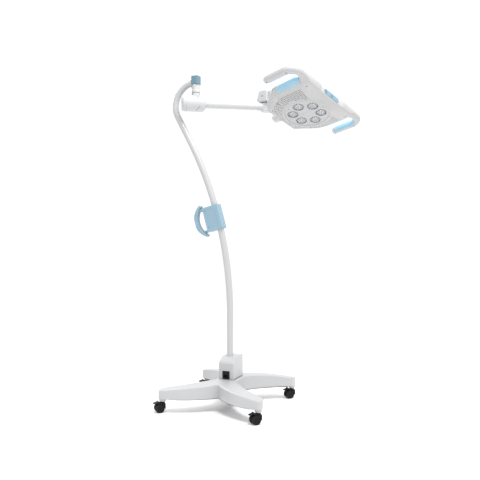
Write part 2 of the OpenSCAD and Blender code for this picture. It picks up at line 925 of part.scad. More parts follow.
module switch_pad() {
    color(sky) at_head() difference() {
        at_switch(0) translate([0, 0, 0.1]) linear_extrude(switch_t) union() {
            square([switch_h, switch_w - switch_h], center = true);
            for (s = [-1, 1]) translate([0, s * (switch_w - switch_h) / 2]) circle(r = switch_h / 2);
        }
        at_switch(power_y) cylinder(r = 9.2, h = 20, center = true);
        at_switch(dimmer_y) cylinder(r = 9.2, h = 20, center = true);
    }
}

module button(y) {
    at_switch(y) translate([0, 0, button_travel + 0.2]) cylinder(r = 9, h = switch_t + 0.4);
}

module power_button() {
    color(cap_blue) at_head() button(power_y);
}

module dimmer_button() {
    color(sky) at_head() button(dimmer_y);
}

base_casting();
base_underplate();
castor_stems();
castor_fork(0);  // castor_fork_fl
castor_wheels(0);  // castor_wheels_fl
castor_brake(0);  // castor_brake_fl
castor_fork(1);  // castor_fork_fr
castor_wheels(1);  // castor_wheels_fr
castor_brake(1);  // castor_brake_fr
castor_fork(2);  // castor_fork_br
castor_wheels(2);  // castor_wheels_br
castor_brake(2);  // castor_brake_br
castor_fork(3);  // castor_fork_bl
castor_wheels(3);  // castor_wheels_bl
castor_brake(3);  // castor_brake_bl
mains_housing();
mains_inlet();
power_supply();
pole_socket();
pole_lower();
pole_upper();
handle_clamp();
handle_grip();
handle_screws();
mast_head();
mast_cap();
arm_spigot();
swivel_washer();
swivel_block();
arm_pivot_pin();
arm_drum();
drum_cap();
arm_tube();
arm_end_hub();
yaw_washer();
yaw_pin();
knuckle();
pitch_pin();
neck();
roll_shaft();
head_lower_shell();
head_upper_shell();
vent_grille();
lamp_panel();
reflectors();
lens_covers();
led_board();
led_chips();
heat_sink();
driver_board();
grip_pad_left();
grip_pad_right();
rail_pad_left();
rail_pad_right();
switch_pad();
power_button();
dimmer_button();
head_screws();
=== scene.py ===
"""A mobile surgical light: the looks, the floor, the lights and the camera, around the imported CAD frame.

Blender works in metres. Shapes are drawn in millimetres in the frame of the part that they belong to.
"""
import json
import math

import bmesh
import bpy
import numpy as np
from mathutils import Matrix, Vector


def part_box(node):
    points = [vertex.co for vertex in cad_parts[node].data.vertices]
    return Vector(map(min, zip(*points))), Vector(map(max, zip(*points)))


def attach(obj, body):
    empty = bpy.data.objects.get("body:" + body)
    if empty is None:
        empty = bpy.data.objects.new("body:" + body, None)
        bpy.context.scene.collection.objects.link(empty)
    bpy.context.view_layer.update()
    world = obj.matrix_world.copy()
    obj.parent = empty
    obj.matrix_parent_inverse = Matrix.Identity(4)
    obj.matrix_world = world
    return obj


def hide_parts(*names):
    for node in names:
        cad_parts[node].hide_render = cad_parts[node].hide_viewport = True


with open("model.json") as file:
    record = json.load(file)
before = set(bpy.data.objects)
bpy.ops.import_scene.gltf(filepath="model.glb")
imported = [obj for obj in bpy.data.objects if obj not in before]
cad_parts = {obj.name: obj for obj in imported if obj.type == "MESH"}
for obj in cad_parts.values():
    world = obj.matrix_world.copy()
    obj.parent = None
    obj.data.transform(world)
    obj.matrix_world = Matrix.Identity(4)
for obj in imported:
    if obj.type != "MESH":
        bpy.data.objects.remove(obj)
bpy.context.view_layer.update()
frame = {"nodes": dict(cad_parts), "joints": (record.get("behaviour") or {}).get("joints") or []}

joints = {j["name"]: j for j in frame["joints"]}
MM = 0.001
CORNERS = ("fl", "fr", "br", "bl")


# ---- frames of the moving parts, from the CAD's joints ----

def moved(x, y, z):
    """A shift by millimetres."""
    return Matrix.Translation((x * MM, y * MM, z * MM))


def rotation(degrees, axis):
    return Matrix.Rotation(math.radians(degrees), 4, axis)


def axes_frame(origin, x, z_hint):
    """A matrix with its X along x, and its Z near z_hint, at origin."""
    x = Vector(x).normalized()
    y = Vector(z_hint).cross(x).normalized()
    z = x.cross(y)
    turn = Matrix((x, y, z)).transposed().to_4x4()
    return Matrix.Translation(Vector(origin)) @ turn


def node_points(node):
    """The vertices of a CAD node at rest, in metres."""
    vertices = frame["nodes"][node].data.vertices
    points = np.zeros(len(vertices) * 3)
    vertices.foreach_get("co", points)
    return points.reshape(-1, 3)


def head_frame():
    """The head's frame: origin in the middle of the lamp face, +X to the nose, +Z away from the lamps."""
    nose = -Vector(joints["power_press"]["axis"])
    board = node_points("led_board")
    flat = np.linalg.svd(board - board.mean(0), full_matrices=False)[2][2]
    up = Vector(flat) * (1 if flat[2] > 0 else -1)
    turn = axes_frame((0, 0, 0), nose, up)
    local = node_points("lamp_panel") @ np.array(turn.to_3x3())
    low, high = local.min(0), local.max(0)
    middle = Vector(((low[0] + high[0]) / 2, (low[1] + high[1]) / 2, low[2]))
    return Matrix.Translation(turn.to_3x3() @ middle) @ turn


UP = Vector((0, 0, 1))
WORLD = Matrix.Identity(4)
ARM_FOOT = Vector(joints["arm_swivel"]["pos_m"])
ARM_END = Vector(joints["head_yaw"]["pos_m"])
ARM = axes_frame(ARM_FOOT, ARM_END - ARM_FOOT, UP)
PITCH_AXIS = Vector(joints["head_pitch"]["axis"])
KNUCKLE = axes_frame(ARM_END, PITCH_AXIS.cross(UP), UP)
NECK = axes_frame(joints["head_pitch"]["pos_m"], joints["head_roll"]["axis"], UP)
MAST = Matrix.Translation(Vector((ARM_FOOT.x, ARM_FOOT.y, 0)))
HEAD = head_frame()
ARM_LEN = (ARM_END - ARM_FOOT).length / MM


def castor_frame(corner):
    stem = Vector(joints["castor_swivel_" + corner]["pos_m"])
    axle = Vector(joints["wheel_spin_" + corner]["pos_m"])
    stem.z = axle.z = 0
    return axes_frame(stem, axle - stem, UP)


# ---- fields: signed distances in millimetres, negative inside ----

def smooth_min(a, b, k):
    h = np.clip(0.5 + 0.5 * (b - a) / k, 0, 1)
    return b * (1 - h) + a * h - k * h * (1 - h)


def smooth_max(a, b, k):
    return -smooth_min(-a, -b, k)


def polygon_field(q, corners):
    """Distance to a closed outline in a plane."""
    nearest = np.full(len(q), 1e18)
    inside = np.zeros(len(q), bool)
    for a, b in zip(corners, np.roll(corners, -1, axis=0)):
        edge, rel = b - a, q - a
        t = np.clip(rel @ edge / max(edge @ edge, 1e-12), 0, 1)
        off = rel - t[:, None] * edge
        nearest = np.minimum(nearest, (off * off).sum(1))
        crosses = (a[1] > q[:, 1]) != (b[1] > q[:, 1])
        rise = edge[1] if abs(edge[1]) > 1e-12 else 1e-12
        inside ^= crosses & (q[:, 0] < edge[0] * (q[:, 1] - a[1]) / rise + a[0])
    return np.sqrt(nearest) * np.where(inside, -1, 1)


def box_field(p, low, high, radius=0.0):
    low, high = np.array(low, float), np.array(high, float)
    q = np.abs(p - (low + high) / 2) - (high - low) / 2 + radius
    return np.linalg.norm(np.maximum(q, 0), axis=1) + np.minimum(q.max(1), 0) - radius


def rod_field(p, a, b, r):
    """A rod with round ends from a to b."""
    a, b = np.array(a, float), np.array(b, float)
    rel, axis = p - a, b - a
    t = np.clip(rel @ axis / (axis @ axis), 0, 1)
    return np.linalg.norm(rel - t[:, None] * axis, axis=1) - r


def drum_field(p, axis, low, high, r, radius=0.0):
    """A cylinder about a coordinate axis (0, 1 or 2) through the origin, with rounded edges."""
    others = [i for i in range(3) if i != axis]
    out = np.linalg.norm(p[:, others], axis=1) - r + radius
    along = np.abs(p[:, axis] - (low + high) / 2) - (high - low) / 2 + radius
    both = np.stack([out, along], 1)
    return np.linalg.norm(np.maximum(both, 0), axis=1) + np.minimum(both.max(1), 0) - radius


def slab_field(p, corners, plane, low, high, radius):
    """An outline in the plane of two axes, pulled out along the third, with rounded edges."""
    third = ({0, 1, 2} - set(plane)).pop()
    flat = polygon_field(p[:, list(plane)], np.array(corners, float))
    along = np.abs(p[:, third] - (low + high) / 2) - (high - low) / 2
    return smooth_max(flat, along, radius)


# ---- meshes ----

def surface_net(field, low, high, step):
    """Vertices and quads on the surface field = 0 inside the box from low to high."""
    lines = [np.arange(low[i], high[i] + step, step) for i in range(3)]
    shape = [len(line) for line in lines]
    grid = np.stack(np.meshgrid(*lines, indexing="ij"), -1).reshape(-1, 3)
    d = field(grid).reshape(shape)
    places, cells, flips = [], [], []
    for a in range(3):
        u, v = (a + 1) % 3, (a + 2) % 3
        first = np.moveaxis(d, a, 0)[:-1]
        second = np.moveaxis(d, a, 0)[1:]
        hits = np.argwhere((first < 0) != (second < 0))
        near, far = first[tuple(hits.T)], second[tuple(hits.T)]
        t = near / (near - far)
        flip = near > 0
        spots = np.empty_like(hits)
        spots[:, a] = hits[:, 0]
        rest = [i for i in range(3) if i != a]
        spots[:, rest[0]], spots[:, rest[1]] = hits[:, 1], hits[:, 2]
        keep = np.all([(spots[:, i] > 0) & (spots[:, i] < shape[i] - 1) for i in (u, v)], axis=0)
        spots, t, flip = spots[keep], t[keep], flip[keep]
        place = spots.astype(float)
        place[:, a] += t
        corners = []
        for du, dv in ((1, 1), (0, 1), (0, 0), (1, 0)):
            cell = spots.copy()
            cell[:, u] -= du
            cell[:, v] -= dv
            corners.append((cell[:, 0] * shape[1] + cell[:, 1]) * shape[2] + cell[:, 2])
        cells.append(np.stack(corners, 1))
        places.append(place)
        flips.append(flip)
    cells, places, flips = np.concatenate(cells), np.concatenate(places), np.concatenate(flips)
    _, quads = np.unique(cells, return_inverse=True)
    quads = quads.reshape(cells.shape)
    count = np.bincount(quads.ravel())
    verts = np.stack([np.bincount(quads.ravel(), np.repeat(places[:, i], 4)) / count
                      for i in range(3)], 1)
    verts = verts * step + np.array(low, float)
    small = step * 0.05
    for _ in range(3):
        here = field(verts)
        slope = np.stack([(field(verts + small * e) - here) / small for e in np.eye(3)], 1)
        push = here[:, None] * slope / np.maximum((slope * slope).sum(1), 0.05)[:, None]
        verts = verts - np.clip(push, -step, step)
    quads[flips] = quads[flips][:, ::-1]
    return verts, quads


def link_object(name, data):
    """A new object in the scene that holds the data."""
    obj = bpy.data.objects.new(name, data)
    bpy.context.scene.collection.objects.link(obj)
    return obj


def make_object(name, verts, faces, place=WORLD, sharp_degrees=40):
    """A mesh object from millimetre points in the frame given by place."""
    mesh = bpy.data.meshes.new(name)
    mesh.from_pydata((np.asarray(verts, float) * MM).tolist(), [], [list(map(int, f)) for f in faces])
    mesh.transform(place)
    mesh.update()
    obj = link_object(name, mesh)
    soften(obj, sharp_degrees)
    return obj


def soften(obj, sharp_degrees=40):
    """Smooth shading, with edges sharper than the angle kept crisp."""
    for polygon in obj.data.polygons:
        polygon.use_smooth = True
    obj.data.set_sharp_from_angle(angle=math.radians(sharp_degrees))


def net_object(name, field, low, high, step, place=WORLD, sharp_degrees=50):
    verts, quads = surface_net(field, low, high, step)
    return make_object(name, verts, quads, place, sharp_degrees)


def lathe(name, profile, place=WORLD, sides=64, closed=False):
    """A profile of (radius, height) points turned about Z. An open profile starts and ends on the axis."""
    verts, faces = [], []
    rings = []
    for r, z in profile:
        if r < 1e-6:
            rings.append([len(verts)])
            verts.append((0, 0, z))
            continue
        rings.append(list(range(len(verts), len(verts) + sides)))
        turns = [2 * math.pi * i / sides for i in range(sides)]
        verts += [(r * math.cos(a), r * math.sin(a), z) for a in turns]
    pairs = list(zip(rings, rings[1:])) + ([(rings[-1], rings[0])] if closed else [])
    for a, b in pairs:
        for i in range(sides):
            j = (i + 1) % sides
            face = [a[i % len(a)], a[j % len(a)], b[j % len(b)], b[i % len(b)]]
            face = [v for k, v in enumerate(face) if v not in face[:k]]
            if len(face) > 2:
                faces.append(face)
    obj = make_object(name, verts, faces, place)
    outward(obj)
    return obj


def outward(obj, weld=0.0):
    """Merges points closer than weld, in metres, and makes the faces of a closed mesh point outwards."""
    bm = bmesh.new()
    bm.from_mesh(obj.data)
    if weld:
        bmesh.ops.remove_doubles(bm, verts=bm.verts, dist=weld)
    bmesh.ops.recalc_face_normals(bm, faces=bm.faces)
    bm.to_mesh(obj.data)
    bm.free()
    soften(obj)


def tube(name, path, r, sides=48):
    """A round rod along a path that lies in the XZ plane, with flat ends."""
    path = np.array(path, float)
    along = np.gradient(path, axis=0)
    along /= np.linalg.norm(along, axis=1)[:, None]
    side = np.array([0.0, 1.0, 0.0])
    verts, faces = [], []
    for point, forward in zip(path, along):
        over = np.cross(forward, side)
        for i in range(sides):
            a = 2 * math.pi * i / sides
            verts.append(point + r * (math.cos(a) * over + math.sin(a) * side))
    for k in range(len(path) - 1):
        for i in range(sides):
            j = (i + 1) % sides
            faces.append([k * sides + i, k * sides + j, (k + 1) * sides + j, (k + 1) * sides + i])
    faces.append(list(range(sides)))
    faces.append(list(range((len(path) - 1) * sides, len(path) * sides)))
    obj = make_object(name, verts, faces)
    outward(obj)
    return obj


def circle(r, x=0.0, y=0.0, sides=64):
    return [(x + r * math.cos(2 * math.pi * i / sides), y + r * math.sin(2 * math.pi * i / sides))
            for i in range(sides)]


def pill(width, height, x=0.0, y=0.0, sides=32):
    """A slot-shaped outline, width along x, with round ends."""
    r, half = height / 2, (width - height) / 2
    ends = []
    for sign, start in ((1, -90), (-1, 90)):
        for i in range(sides + 1):
            a = math.radians(start + 180 * i / sides)
            ends.append((x + sign * half + r * math.cos(a), y + r * math.sin(a)))
    return ends


def plate(name, outlines, low, high, bevel, place=WORLD):
    """A bevelled flat plate in the XY plane from height low to high: the first outline less the others."""
    curve = bpy.data.curves.new(name, "CURVE")
    curve.dimensions = "2D"
    curve.fill_mode = "BOTH"
    curve.extrude = ((high - low) / 2 - bevel) * MM
    curve.bevel_depth = bevel * MM
    curve.bevel_resolution = 2
    curve.offset = -bevel * MM
    for outline in outlines:
        spline = curve.splines.new("POLY")
        spline.points.add(len(outline) - 1)
        for point, (x, y) in zip(spline.points, outline):
            point.co = (x * MM, y * MM, 0, 1)
        spline.use_cyclic_u = True
    holder = link_object(name + "_curve", curve)
    mesh = final_mesh(holder)
    bpy.data.objects.remove(holder)
    mesh.name = name
    mesh.transform(place @ moved(0, 0, (low + high) / 2))
    obj = link_object(name, mesh)
    outward(obj, 1e-6)
    return obj


def final_mesh(obj):
    """The object's mesh with its curve or modifiers worked out."""
    return bpy.data.meshes.new_from_object(obj.evaluated_get(bpy.context.evaluated_depsgraph_get()))


def join(name, parts):
    """Several mesh objects as one."""
    bm = bmesh.new()
    for part in parts:
        bm.from_mesh(part.data)
    mesh = bpy.data.meshes.new(name)
    bm.to_mesh(mesh)
    bm.free()
    for part in parts:
        bpy.data.objects.remove(part)
    obj = link_object(name, mesh)
    soften(obj)
    return obj


def set_material(obj, material):
    obj.data.materials.clear()
    obj.data.materials.append(material)


def finish_cad(material, *nodes):
    """Gives CAD nodes that stay in view their material."""
    for node in nodes:
        set_material(frame["nodes"][node], material)


def dress(obj, body, material, slot, *nodes):
    """Gives a finished piece its body and its material, and hides the CAD nodes that it stands for. The slot
    is not used.
    """
    set_material(obj, material)
    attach(obj, body)
    if nodes:
        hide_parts(*nodes)
    return obj


# ---- materials ----

def new_material(name, color, roughness, metallic=0.0, coat=0.0, alpha=1.0, specular=0.5):
    """A Principled material, its node tree and its shader."""
    material = bpy.data.materials.new(name)
    material.use_nodes = True
    tree = material.node_tree
    shader = tree.nodes["Principled BSDF"]
    values = {"Base Color": (*color, 1), "Roughness": roughness, "Metallic": metallic, "Coat Weight": coat,
              "Alpha": alpha, "Specular IOR Level": specular}
    for socket, value in values.items():
        shader.inputs[socket].default_value = value
    return material, tree, shader


def noise(tree, scale, detail=4.0, stretch=(1, 1, 1)):
    """Noise in the piece's own coordinates, where scale is how many grains there are in a metre."""
    place = tree.nodes.new("ShaderNodeTexCoord")
    mapping = tree.nodes.new("ShaderNodeMapping")
    mapping.inputs["Scale"].default_value = stretch
    texture = tree.nodes.new("ShaderNodeTexNoise")
    texture.inputs["Scale"].default_value = scale
    texture.inputs["Detail"].default_value = detail
    tree.links.new(place.outputs["Object"], mapping.inputs["Vector"])
    tree.links.new(mapping.outputs["Vector"], texture.inputs["Vector"])
    return texture.outputs["Fac"]


def vary_color(tree, shader, fac, dark, light):
    """The base colour runs from dark to light with fac."""
    ramp = tree.nodes.new("ShaderNodeValToRGB")
    ramp.color_ramp.elements[0].position = 0.3
    ramp.color_ramp.elements[1].position = 0.7
    ramp.color_ramp.elements[0].color = (*dark, 1)
    ramp.color_ramp.elements[1].color = (*light, 1)
    tree.links.new(fac, ramp.inputs["Fac"])
    tree.links.new(ramp.outputs["Color"], shader.inputs["Base Color"])


def vary_roughness(tree, shader, fac, low, high):
    span = tree.nodes.new("ShaderNodeMapRange")
    span.inputs["To Min"].default_value = low
    span.inputs["To Max"].default_value = high
    tree.links.new(fac, span.inputs["Value"])
    tree.links.new(span.outputs["Result"], shader.inputs["Roughness"])


def add_bump(tree, shader, fac, depth, strength=1.0):
    """Bump of a real depth in metres."""
    bump = tree.nodes.new("ShaderNodeBump")
    bump.inputs["Strength"].default_value = strength
    bump.inputs["Distance"].default_value = depth
    tree.links.new(fac, bump.inputs["Height"])
    tree.links.new(bump.outputs["Normal"], shader.inputs["Normal"])


def shade(color, factor):
    return tuple(min(1.0, c * factor) for c in color)


def varied(name, color, roughness, tone, gloss, grain, stretch=(1, 1), **look):
    """A material whose tone, roughness and relief each follow noise of a given scale and detail.

    Then tone has two shades, gloss two changes of roughness, and grain a depth in metres and a strength.
    """
    material, tree, shader = new_material(name, color, roughness, **look)
    scale, detail, dark, light = tone
    vary_color(tree, shader, noise(tree, scale, detail), shade(color, dark), shade(color, light))
    scale, detail, less, more = gloss
    fac = noise(tree, scale, detail, (1, 1, stretch[0]))
    vary_roughness(tree, shader, fac, roughness + less, roughness + more)
    scale, detail, depth, strength = grain
    add_bump(tree, shader, noise(tree, scale, detail, (1, 1, stretch[1])), depth, strength)
    return material


def enamel(name, color, gloss=0.32):
    """Baked paint with a fine orange peel and a slight change of tone."""
    return varied(name, color, gloss, (3, 3, 0.975, 1.01), (12, 3, -0.05, 0.08), (420, 2, 0.00005, 0.5),
                  coat=0.15)


def moulded_plastic(name, color, roughness=0.45, grain=0.00006, specular=0.5):
    """Moulded plastic with a fine spark-eroded grain."""
    return varied(name, color, roughness, (5, 4, 0.97, 1.015), (20, 3, -0.06, 0.08), (1400, 2, grain, 0.6),
                  specular=specular)


def soft_rubber(name, color, roughness=0.55, specular=0.5):
    """Matt rubber, a little dusty."""
    return varied(name, color, roughness, (18, 5, 0.93, 1.04), (35, 4, -0.08, 0.12), (900, 3, 0.00008, 0.7),
                  specular=specular)


def turned_metal(name, color, roughness=0.28):
    """Machined metal with fine tool marks."""
    return varied(name, color, roughness, (30, 3, 0.94, 1.03), (260, 2, -0.07, 0.1), (780, 2, 0.00002, 0.4),
                  (12, 10), metallic=1.0)


def chrome(name, color):
    """Polished chrome with a faint haze."""
    material, tree, shader = new_material(name, color, 0.06, metallic=1.0)
    vary_roughness(tree, shader, noise(tree, 60.0, 3.0), 0.04, 0.12)
    return material


def clear_cover(name):
    """A thin clear lens, mostly seen through."""
    material, tree, shader = new_material(name, (0.95, 0.97, 1.0), 0.04, coat=0.4, alpha=0.16)
    vary_roughness(tree, shader, noise(tree, 25.0, 3.0), 0.02, 0.09)
    return material


def circuit_board(name):
    """Green solder mask with a mottled weave under it."""
    material, tree, shader = new_material(name, (0.03, 0.18, 0.09), 0.35, coat=0.3)
    vary_color(tree, shader, noise(tree, 260.0, 2.0), (0.02, 0.14, 0.07), (0.05, 0.24, 0.12))
    add_bump(tree, shader, noise(tree, 700.0, 2.0), 0.00004, 0.5)
    return material


WHITE = (0.44, 0.443, 0.447)
SHELL = (0.41, 0.412, 0.415)
UNDER = (0.44, 0.44, 0.44)
SKY = (0.285, 0.475, 0.59)
GREY_BLUE = (0.225, 0.345, 0.425)
CAP = (0.115, 0.20, 0.26)

paint = enamel("white_enamel", WHITE)
coat = enamel("white_coat", shade(WHITE, 1.08), 0.36)
shell_white = moulded_plastic("shell_white", SHELL, 0.4)
shell_grey = moulded_plastic("shell_grey", UNDER, 0.42)
grille_grey = moulded_plastic("grille_grey", shade(UNDER, 0.95), 0.45)
sky_rubber = soft_rubber("sky_rubber", SKY, 0.38)
button_rubber = soft_rubber("button_rubber", (0.10, 0.24, 0.34), 0.42)
# The switch pad is the grip blue darkened by a third: painted shade, so the key light on the nose reads dimmer
switch_rubber_painted_shade = soft_rubber("switch_rubber_painted_shade", shade(SKY, 0.66), 0.42)
handle_plastic = moulded_plastic("handle_blue", GREY_BLUE, 0.42)
cap_plastic = moulded_plastic("cap_blue", CAP, 0.42)
black_plastic = moulded_plastic("black_plastic", (0.007, 0.007, 0.008), 0.46, 0.0001, 0.25)
wheel_rubber = soft_rubber("wheel_rubber", (0.009, 0.009, 0.010), 0.6, 0.22)
steel = turned_metal("turned_steel", (0.62, 0.63, 0.65))
dark_steel = turned_metal("dark_screw", (0.10, 0.10, 0.11), 0.4)
# The cups' chrome gets a dark colour: painted reflection, standing in for the dark room that it would mirror
chrome_painted_dark = chrome("chrome_cup", (0.22, 0.223, 0.23))
lens = clear_cover("lens_clear")
board_green = circuit_board("circuit_board")
led_phosphor = moulded_plastic("led_phosphor", (0.88, 0.72, 0.22), 0.35)
sink_metal = turned_metal("sink_metal", (0.55, 0.56, 0.58), 0.45)
inner_grey = moulded_plastic("supply_case", (0.10, 0.10, 0.11), 0.55)


# ---- camera, floor and light ----

def make_camera():
    """Level with the middle of the pole, from the front and a little to the right."""
    data = bpy.data.cameras.new("camera")
    camera = link_object("camera", data)
    bpy.context.scene.camera = camera
    data.lens = 45.4
    data.sensor_width = 36
    data.clip_end = 100
    camera.location = (1.398, -3.209, 0.950)
    camera.rotation_euler = (math.radians(90), 0, math.radians(22.6))


def make_floor():
    half = 30
    mesh = bpy.data.meshes.new("floor")
    mesh.from_pydata([(-half, -half, 0), (half, -half, 0), (half, half, 0), (-half, half, 0)], [],
                     [(0, 1, 2, 3)])
    floor = link_object("floor", mesh)
    material, tree, shader = new_material("floor_white", (0.96, 0.96, 0.965), 0.75)
    vary_color(tree, shader, noise(tree, 1.5, 2.0), (0.955, 0.955, 0.96), (0.965, 0.965, 0.97))
    floor.data.materials.append(material)


def area_light(name, place, target, size, power):
    data = bpy.data.lights.new(name, "AREA")
    data.energy = power
    data.shape = "RECTANGLE"
    data.size, data.size_y = size
    light = link_object(name, data)
    light.location = place
    light.rotation_euler = (Vector(target) - Vector(place)).to_track_quat("-Z", "Y").to_euler()


def make_lights():
    world = bpy.data.worlds.new("studio")
    bpy.context.scene.world = world
    world.use_nodes = True
    background = world.node_tree.nodes["Background"]
    background.inputs["Color"].default_value = (1, 1, 1, 1)
    background.inputs["Strength"].default_value = 1.06
    area_light("key", (1.3, -0.9, 4.3), (0, 0, 0.9), (1.8, 1.8), 140)
    area_light("rim", (-2.4, 1.6, 3.0), (0, 0, 1.2), (1.6, 1.6), 30)
    bpy.context.scene.view_settings.view_transform = "Standard"


make_camera()
make_floor()
make_lights()


# ---- base ----

BASE_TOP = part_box("base_casting")[1].z / MM
BASE_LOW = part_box("base_casting")[0].z / MM
LEG_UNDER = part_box("base_underplate")[1].z / MM
DOME_R = 2630.0
STEM = abs(joints["castor_swivel_fl"]["pos_m"][0]) / MM
CREASE = 166.0


def bezier(a, b, c, count):
    a, b, c = (np.array(v, float) for v in (a, b, c))
    t = np.linspace(0, 1, count + 1)[:, None]
    return (1 - t) ** 2 * a + 2 * t * (1 - t) * b + t * t * c


def base_outline():
    """Outline of the four legs seen from above: one quarter mirrored both ways."""
    tip, side = STEM + 22, STEM + 26
    quarter = np.concatenate([
        bezier((0, CREASE), (118, 290), (STEM, side), 16),
        bezier((STEM, side), (tip, side), (tip, STEM), 8)[1:],
        [(tip, STEM - 10)],
        bezier((tip - 6, STEM - 34), (150, 190), (62, 60), 16),
        [(62, 0)],
    ])
    back = quarter[-2:0:-1]
    return np.concatenate([quarter, back * (1, -1), quarter * (-1, -1), back * (-1, 1)])


def base_field(outline):
    def field(p):
        legs = polygon_field(p[:, :2], outline)
        top = np.linalg.norm(p - (0, 0, BASE_TOP - DOME_R), axis=1) - DOME_R
        rim = LEG_UNDER - p[:, 2]
        return smooth_max(smooth_max(legs, top, 6), rim, 3)
    return field


def make_base():
    field = base_field(base_outline())
    reach = STEM + 34
    low, high = (-reach, -reach, LEG_UNDER - 9), (reach, reach, BASE_TOP + 9)
    shell = net_object("base_legs", field, low, high, 4.5)
    bosses = []
    for corner in CORNERS:
        x, y, _ = joints["castor_swivel_" + corner]["pos_m"]
        place = Matrix.Translation((x, y, 0))
        bosses.append(lathe("boss_" + corner, [(0, BASE_LOW), (18.5, BASE_LOW), (20, BASE_LOW + 1.5),
                                               (20, LEG_UNDER + 12), (0, LEG_UNDER + 12)], place))
    dress(join("base_legs_cast", [shell, *bosses]), "stand", paint, "white_enamel", "base_casting")
    dress(plate("base_tray", [base_inner_outline()], LEG_UNDER - 2, LEG_UNDER, 0.4), "stand",
          inner_grey, "underplate", "base_underplate")


def base_inner_outline():
    """The sheet under the legs ends short of the castors."""
    outline = base_outline() * 0.98
    keep = []
    for x, y in outline:
        if math.hypot(abs(x) - STEM, abs(y) - STEM) > 46:
            keep.append((x, y))
    return keep


make_base()
finish_cad(steel, "castor_stems", "pole_socket")
finish_cad(inner_grey, "power_supply")


# ---- castors ----

WHEEL_R = joints["wheel_spin_fl"]["pos_m"][2] / MM
TRAIL = 20.0
WHEEL_W = 20.0
WHEEL_GAP = 8.0
HOOD_W = 2 * WHEEL_W + WHEEL_GAP
PEDAL = (26.0, 58.6)
FORK_TOP = 58.0
HOOD_IN = WHEEL_R + 2
HOOD_OUT = WHEEL_R + 5


def fork_field(p):
    """The hood over the wheels, square towards the stem, the web between them and the stem's boss."""
    x, z = p[:, 0] - TRAIL, p[:, 2] - WHEEL_R
    r = np.hypot(x, z)
    flank = np.abs(p[:, 1]) - HOOD_W / 2
    round_back = np.maximum(r - HOOD_OUT, np.maximum(6 - z, x - 8))
    square_front = box_field(np.stack([x, z, z], 1), (-HOOD_OUT, -5, -5),
                             (2, HOOD_OUT - 1, HOOD_OUT - 1), 4)
    hood = smooth_max(np.minimum(round_back, square_front), flank, 3)
    hood = smooth_max(hood, HOOD_IN - r, 0.8)
    boss = drum_field(p, 2, FORK_TOP - 8, FORK_TOP, 13, 1.2)
    web = box_field(p, (-2, -3, WHEEL_R - 6), (TRAIL + 2, 3, FORK_TOP - 4), 1.5)
    hub = drum_field(p - (TRAIL, 0, WHEEL_R), 1, -3, 3, 9, 0.5)
    low, high = PEDAL[1] - 5.6, PEDAL[1] + 3.4
    lugs = [box_field(p, (PEDAL[0] - 5, y - 2, low), (PEDAL[0] + 5, y + 2, high), 1.5)
            for y in (-15.5, 15.5)]
    body = smooth_min(smooth_min(hood, boss, 2), web, 1.5)
    for part in (hub, *lugs):
        body = smooth_min(body, part, 1.2)
    return body


def pin_profile(r, half):
    """Half section of a pin with broken edges."""
    return [(0, -half), (r - 0.4, -half), (r, 0.4 - half), (r, half - 0.4), (r - 0.4, half), (0, half)]


def wheel_profile():
    """Half section of one wheel, from the inner face out: hub, dished disc, rounded tread."""
    half = WHEEL_W / 2
    r = WHEEL_R
    rim = [(4.3, half), (8, half), (9, half - 0.8), (9, half - 2.5), (r - 9, half - 3.5),
           (r - 7, half - 0.8), (r - 4, half - 0.3), (r - 1.4, half - 1.4), (r - 0.3, half - 4), (r, half - 6)]
    return [(x, -z) for x, z in rim] + rim[::-1]


def make_castors():
    verts, quads = surface_net(fork_field, (-17, -27, 14), (40, 27, 66), 1.3)
    turn = rotation(90, "X")
    for corner in CORNERS:
        place = castor_frame(corner)
        fork = make_object("castor_hood_" + corner, verts, quads, place, 50)
        axle = lathe("axle", pin_profile(4, 22), place @ moved(TRAIL, 0, WHEEL_R) @ turn, 24)
        dress(join("castor_body_" + corner, [fork, axle]), "castor_" + corner, black_plastic,
              "black_plastic", "castor_fork_" + corner)
        wheels = []
        for side in (-1, 1):
            shift = moved(TRAIL, side * (WHEEL_GAP + WHEEL_W) / 2, WHEEL_R)
            wheels.append(lathe("wheel", wheel_profile(), place @ shift @ turn, 72, closed=True))
        dress(join("castor_twin_wheels_" + corner, wheels), "wheels_" + corner, wheel_rubber,
              "castor_tyre", "castor_wheels_" + corner)
        pedal_place = place @ moved(PEDAL[0], 0, PEDAL[1])
        tilt = rotation(14, "Y")
        pedal = net_object("pedal", pedal_field, (-5, -18, -5), (34, 18, 8), 1.0, pedal_place @ tilt)
        pin = lathe("pin", pin_profile(3, 17), pedal_place @ turn, 24)
        dress(join("castor_pedal_" + corner, [pedal, pin]), "brake_" + corner, black_plastic,
              "black_plastic", "castor_brake_" + corner)


def pedal_field(p):
    """A foot pedal with three ribs."""
    tread = box_field(p, (0, -13, -1), (31, 13, 3), 1.2)
    for x in (12, 18, 24):
        tread = smooth_min(tread, rod_field(p, (x, -9, 2.6), (x, 9, 2.6), 1), 0.8)
    return tread


make_castors()


# ---- mains housing ----

HOUSING_LOW, HOUSING_HIGH = (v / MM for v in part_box("mains_housing"))
INLET_LOW, INLET_HIGH = (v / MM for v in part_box("mains_inlet"))


def housing_field(p):
    """A box with a sloping brow at the front, open for the inlet."""
    y0, y1, top = HOUSING_LOW.y, HOUSING_HIGH.y, HOUSING_HIGH.z
    low = HOUSING_LOW.z
    side = [(y0, low), (y1, low), (y1, top), (-14, top), (y0 + 10, top - 22), (y0, top - 34)]
    body = slab_field(p, side, (1, 2), HOUSING_LOW.x, HOUSING_HIGH.x, 12)
    inlet = box_field(p, (INLET_LOW.x + 2, y0 - 10, INLET_LOW.z + 2),
                      (INLET_HIGH.x - 2, y0 + 14, INLET_HIGH.z - 2))
    return smooth_max(body, -inlet, 1)


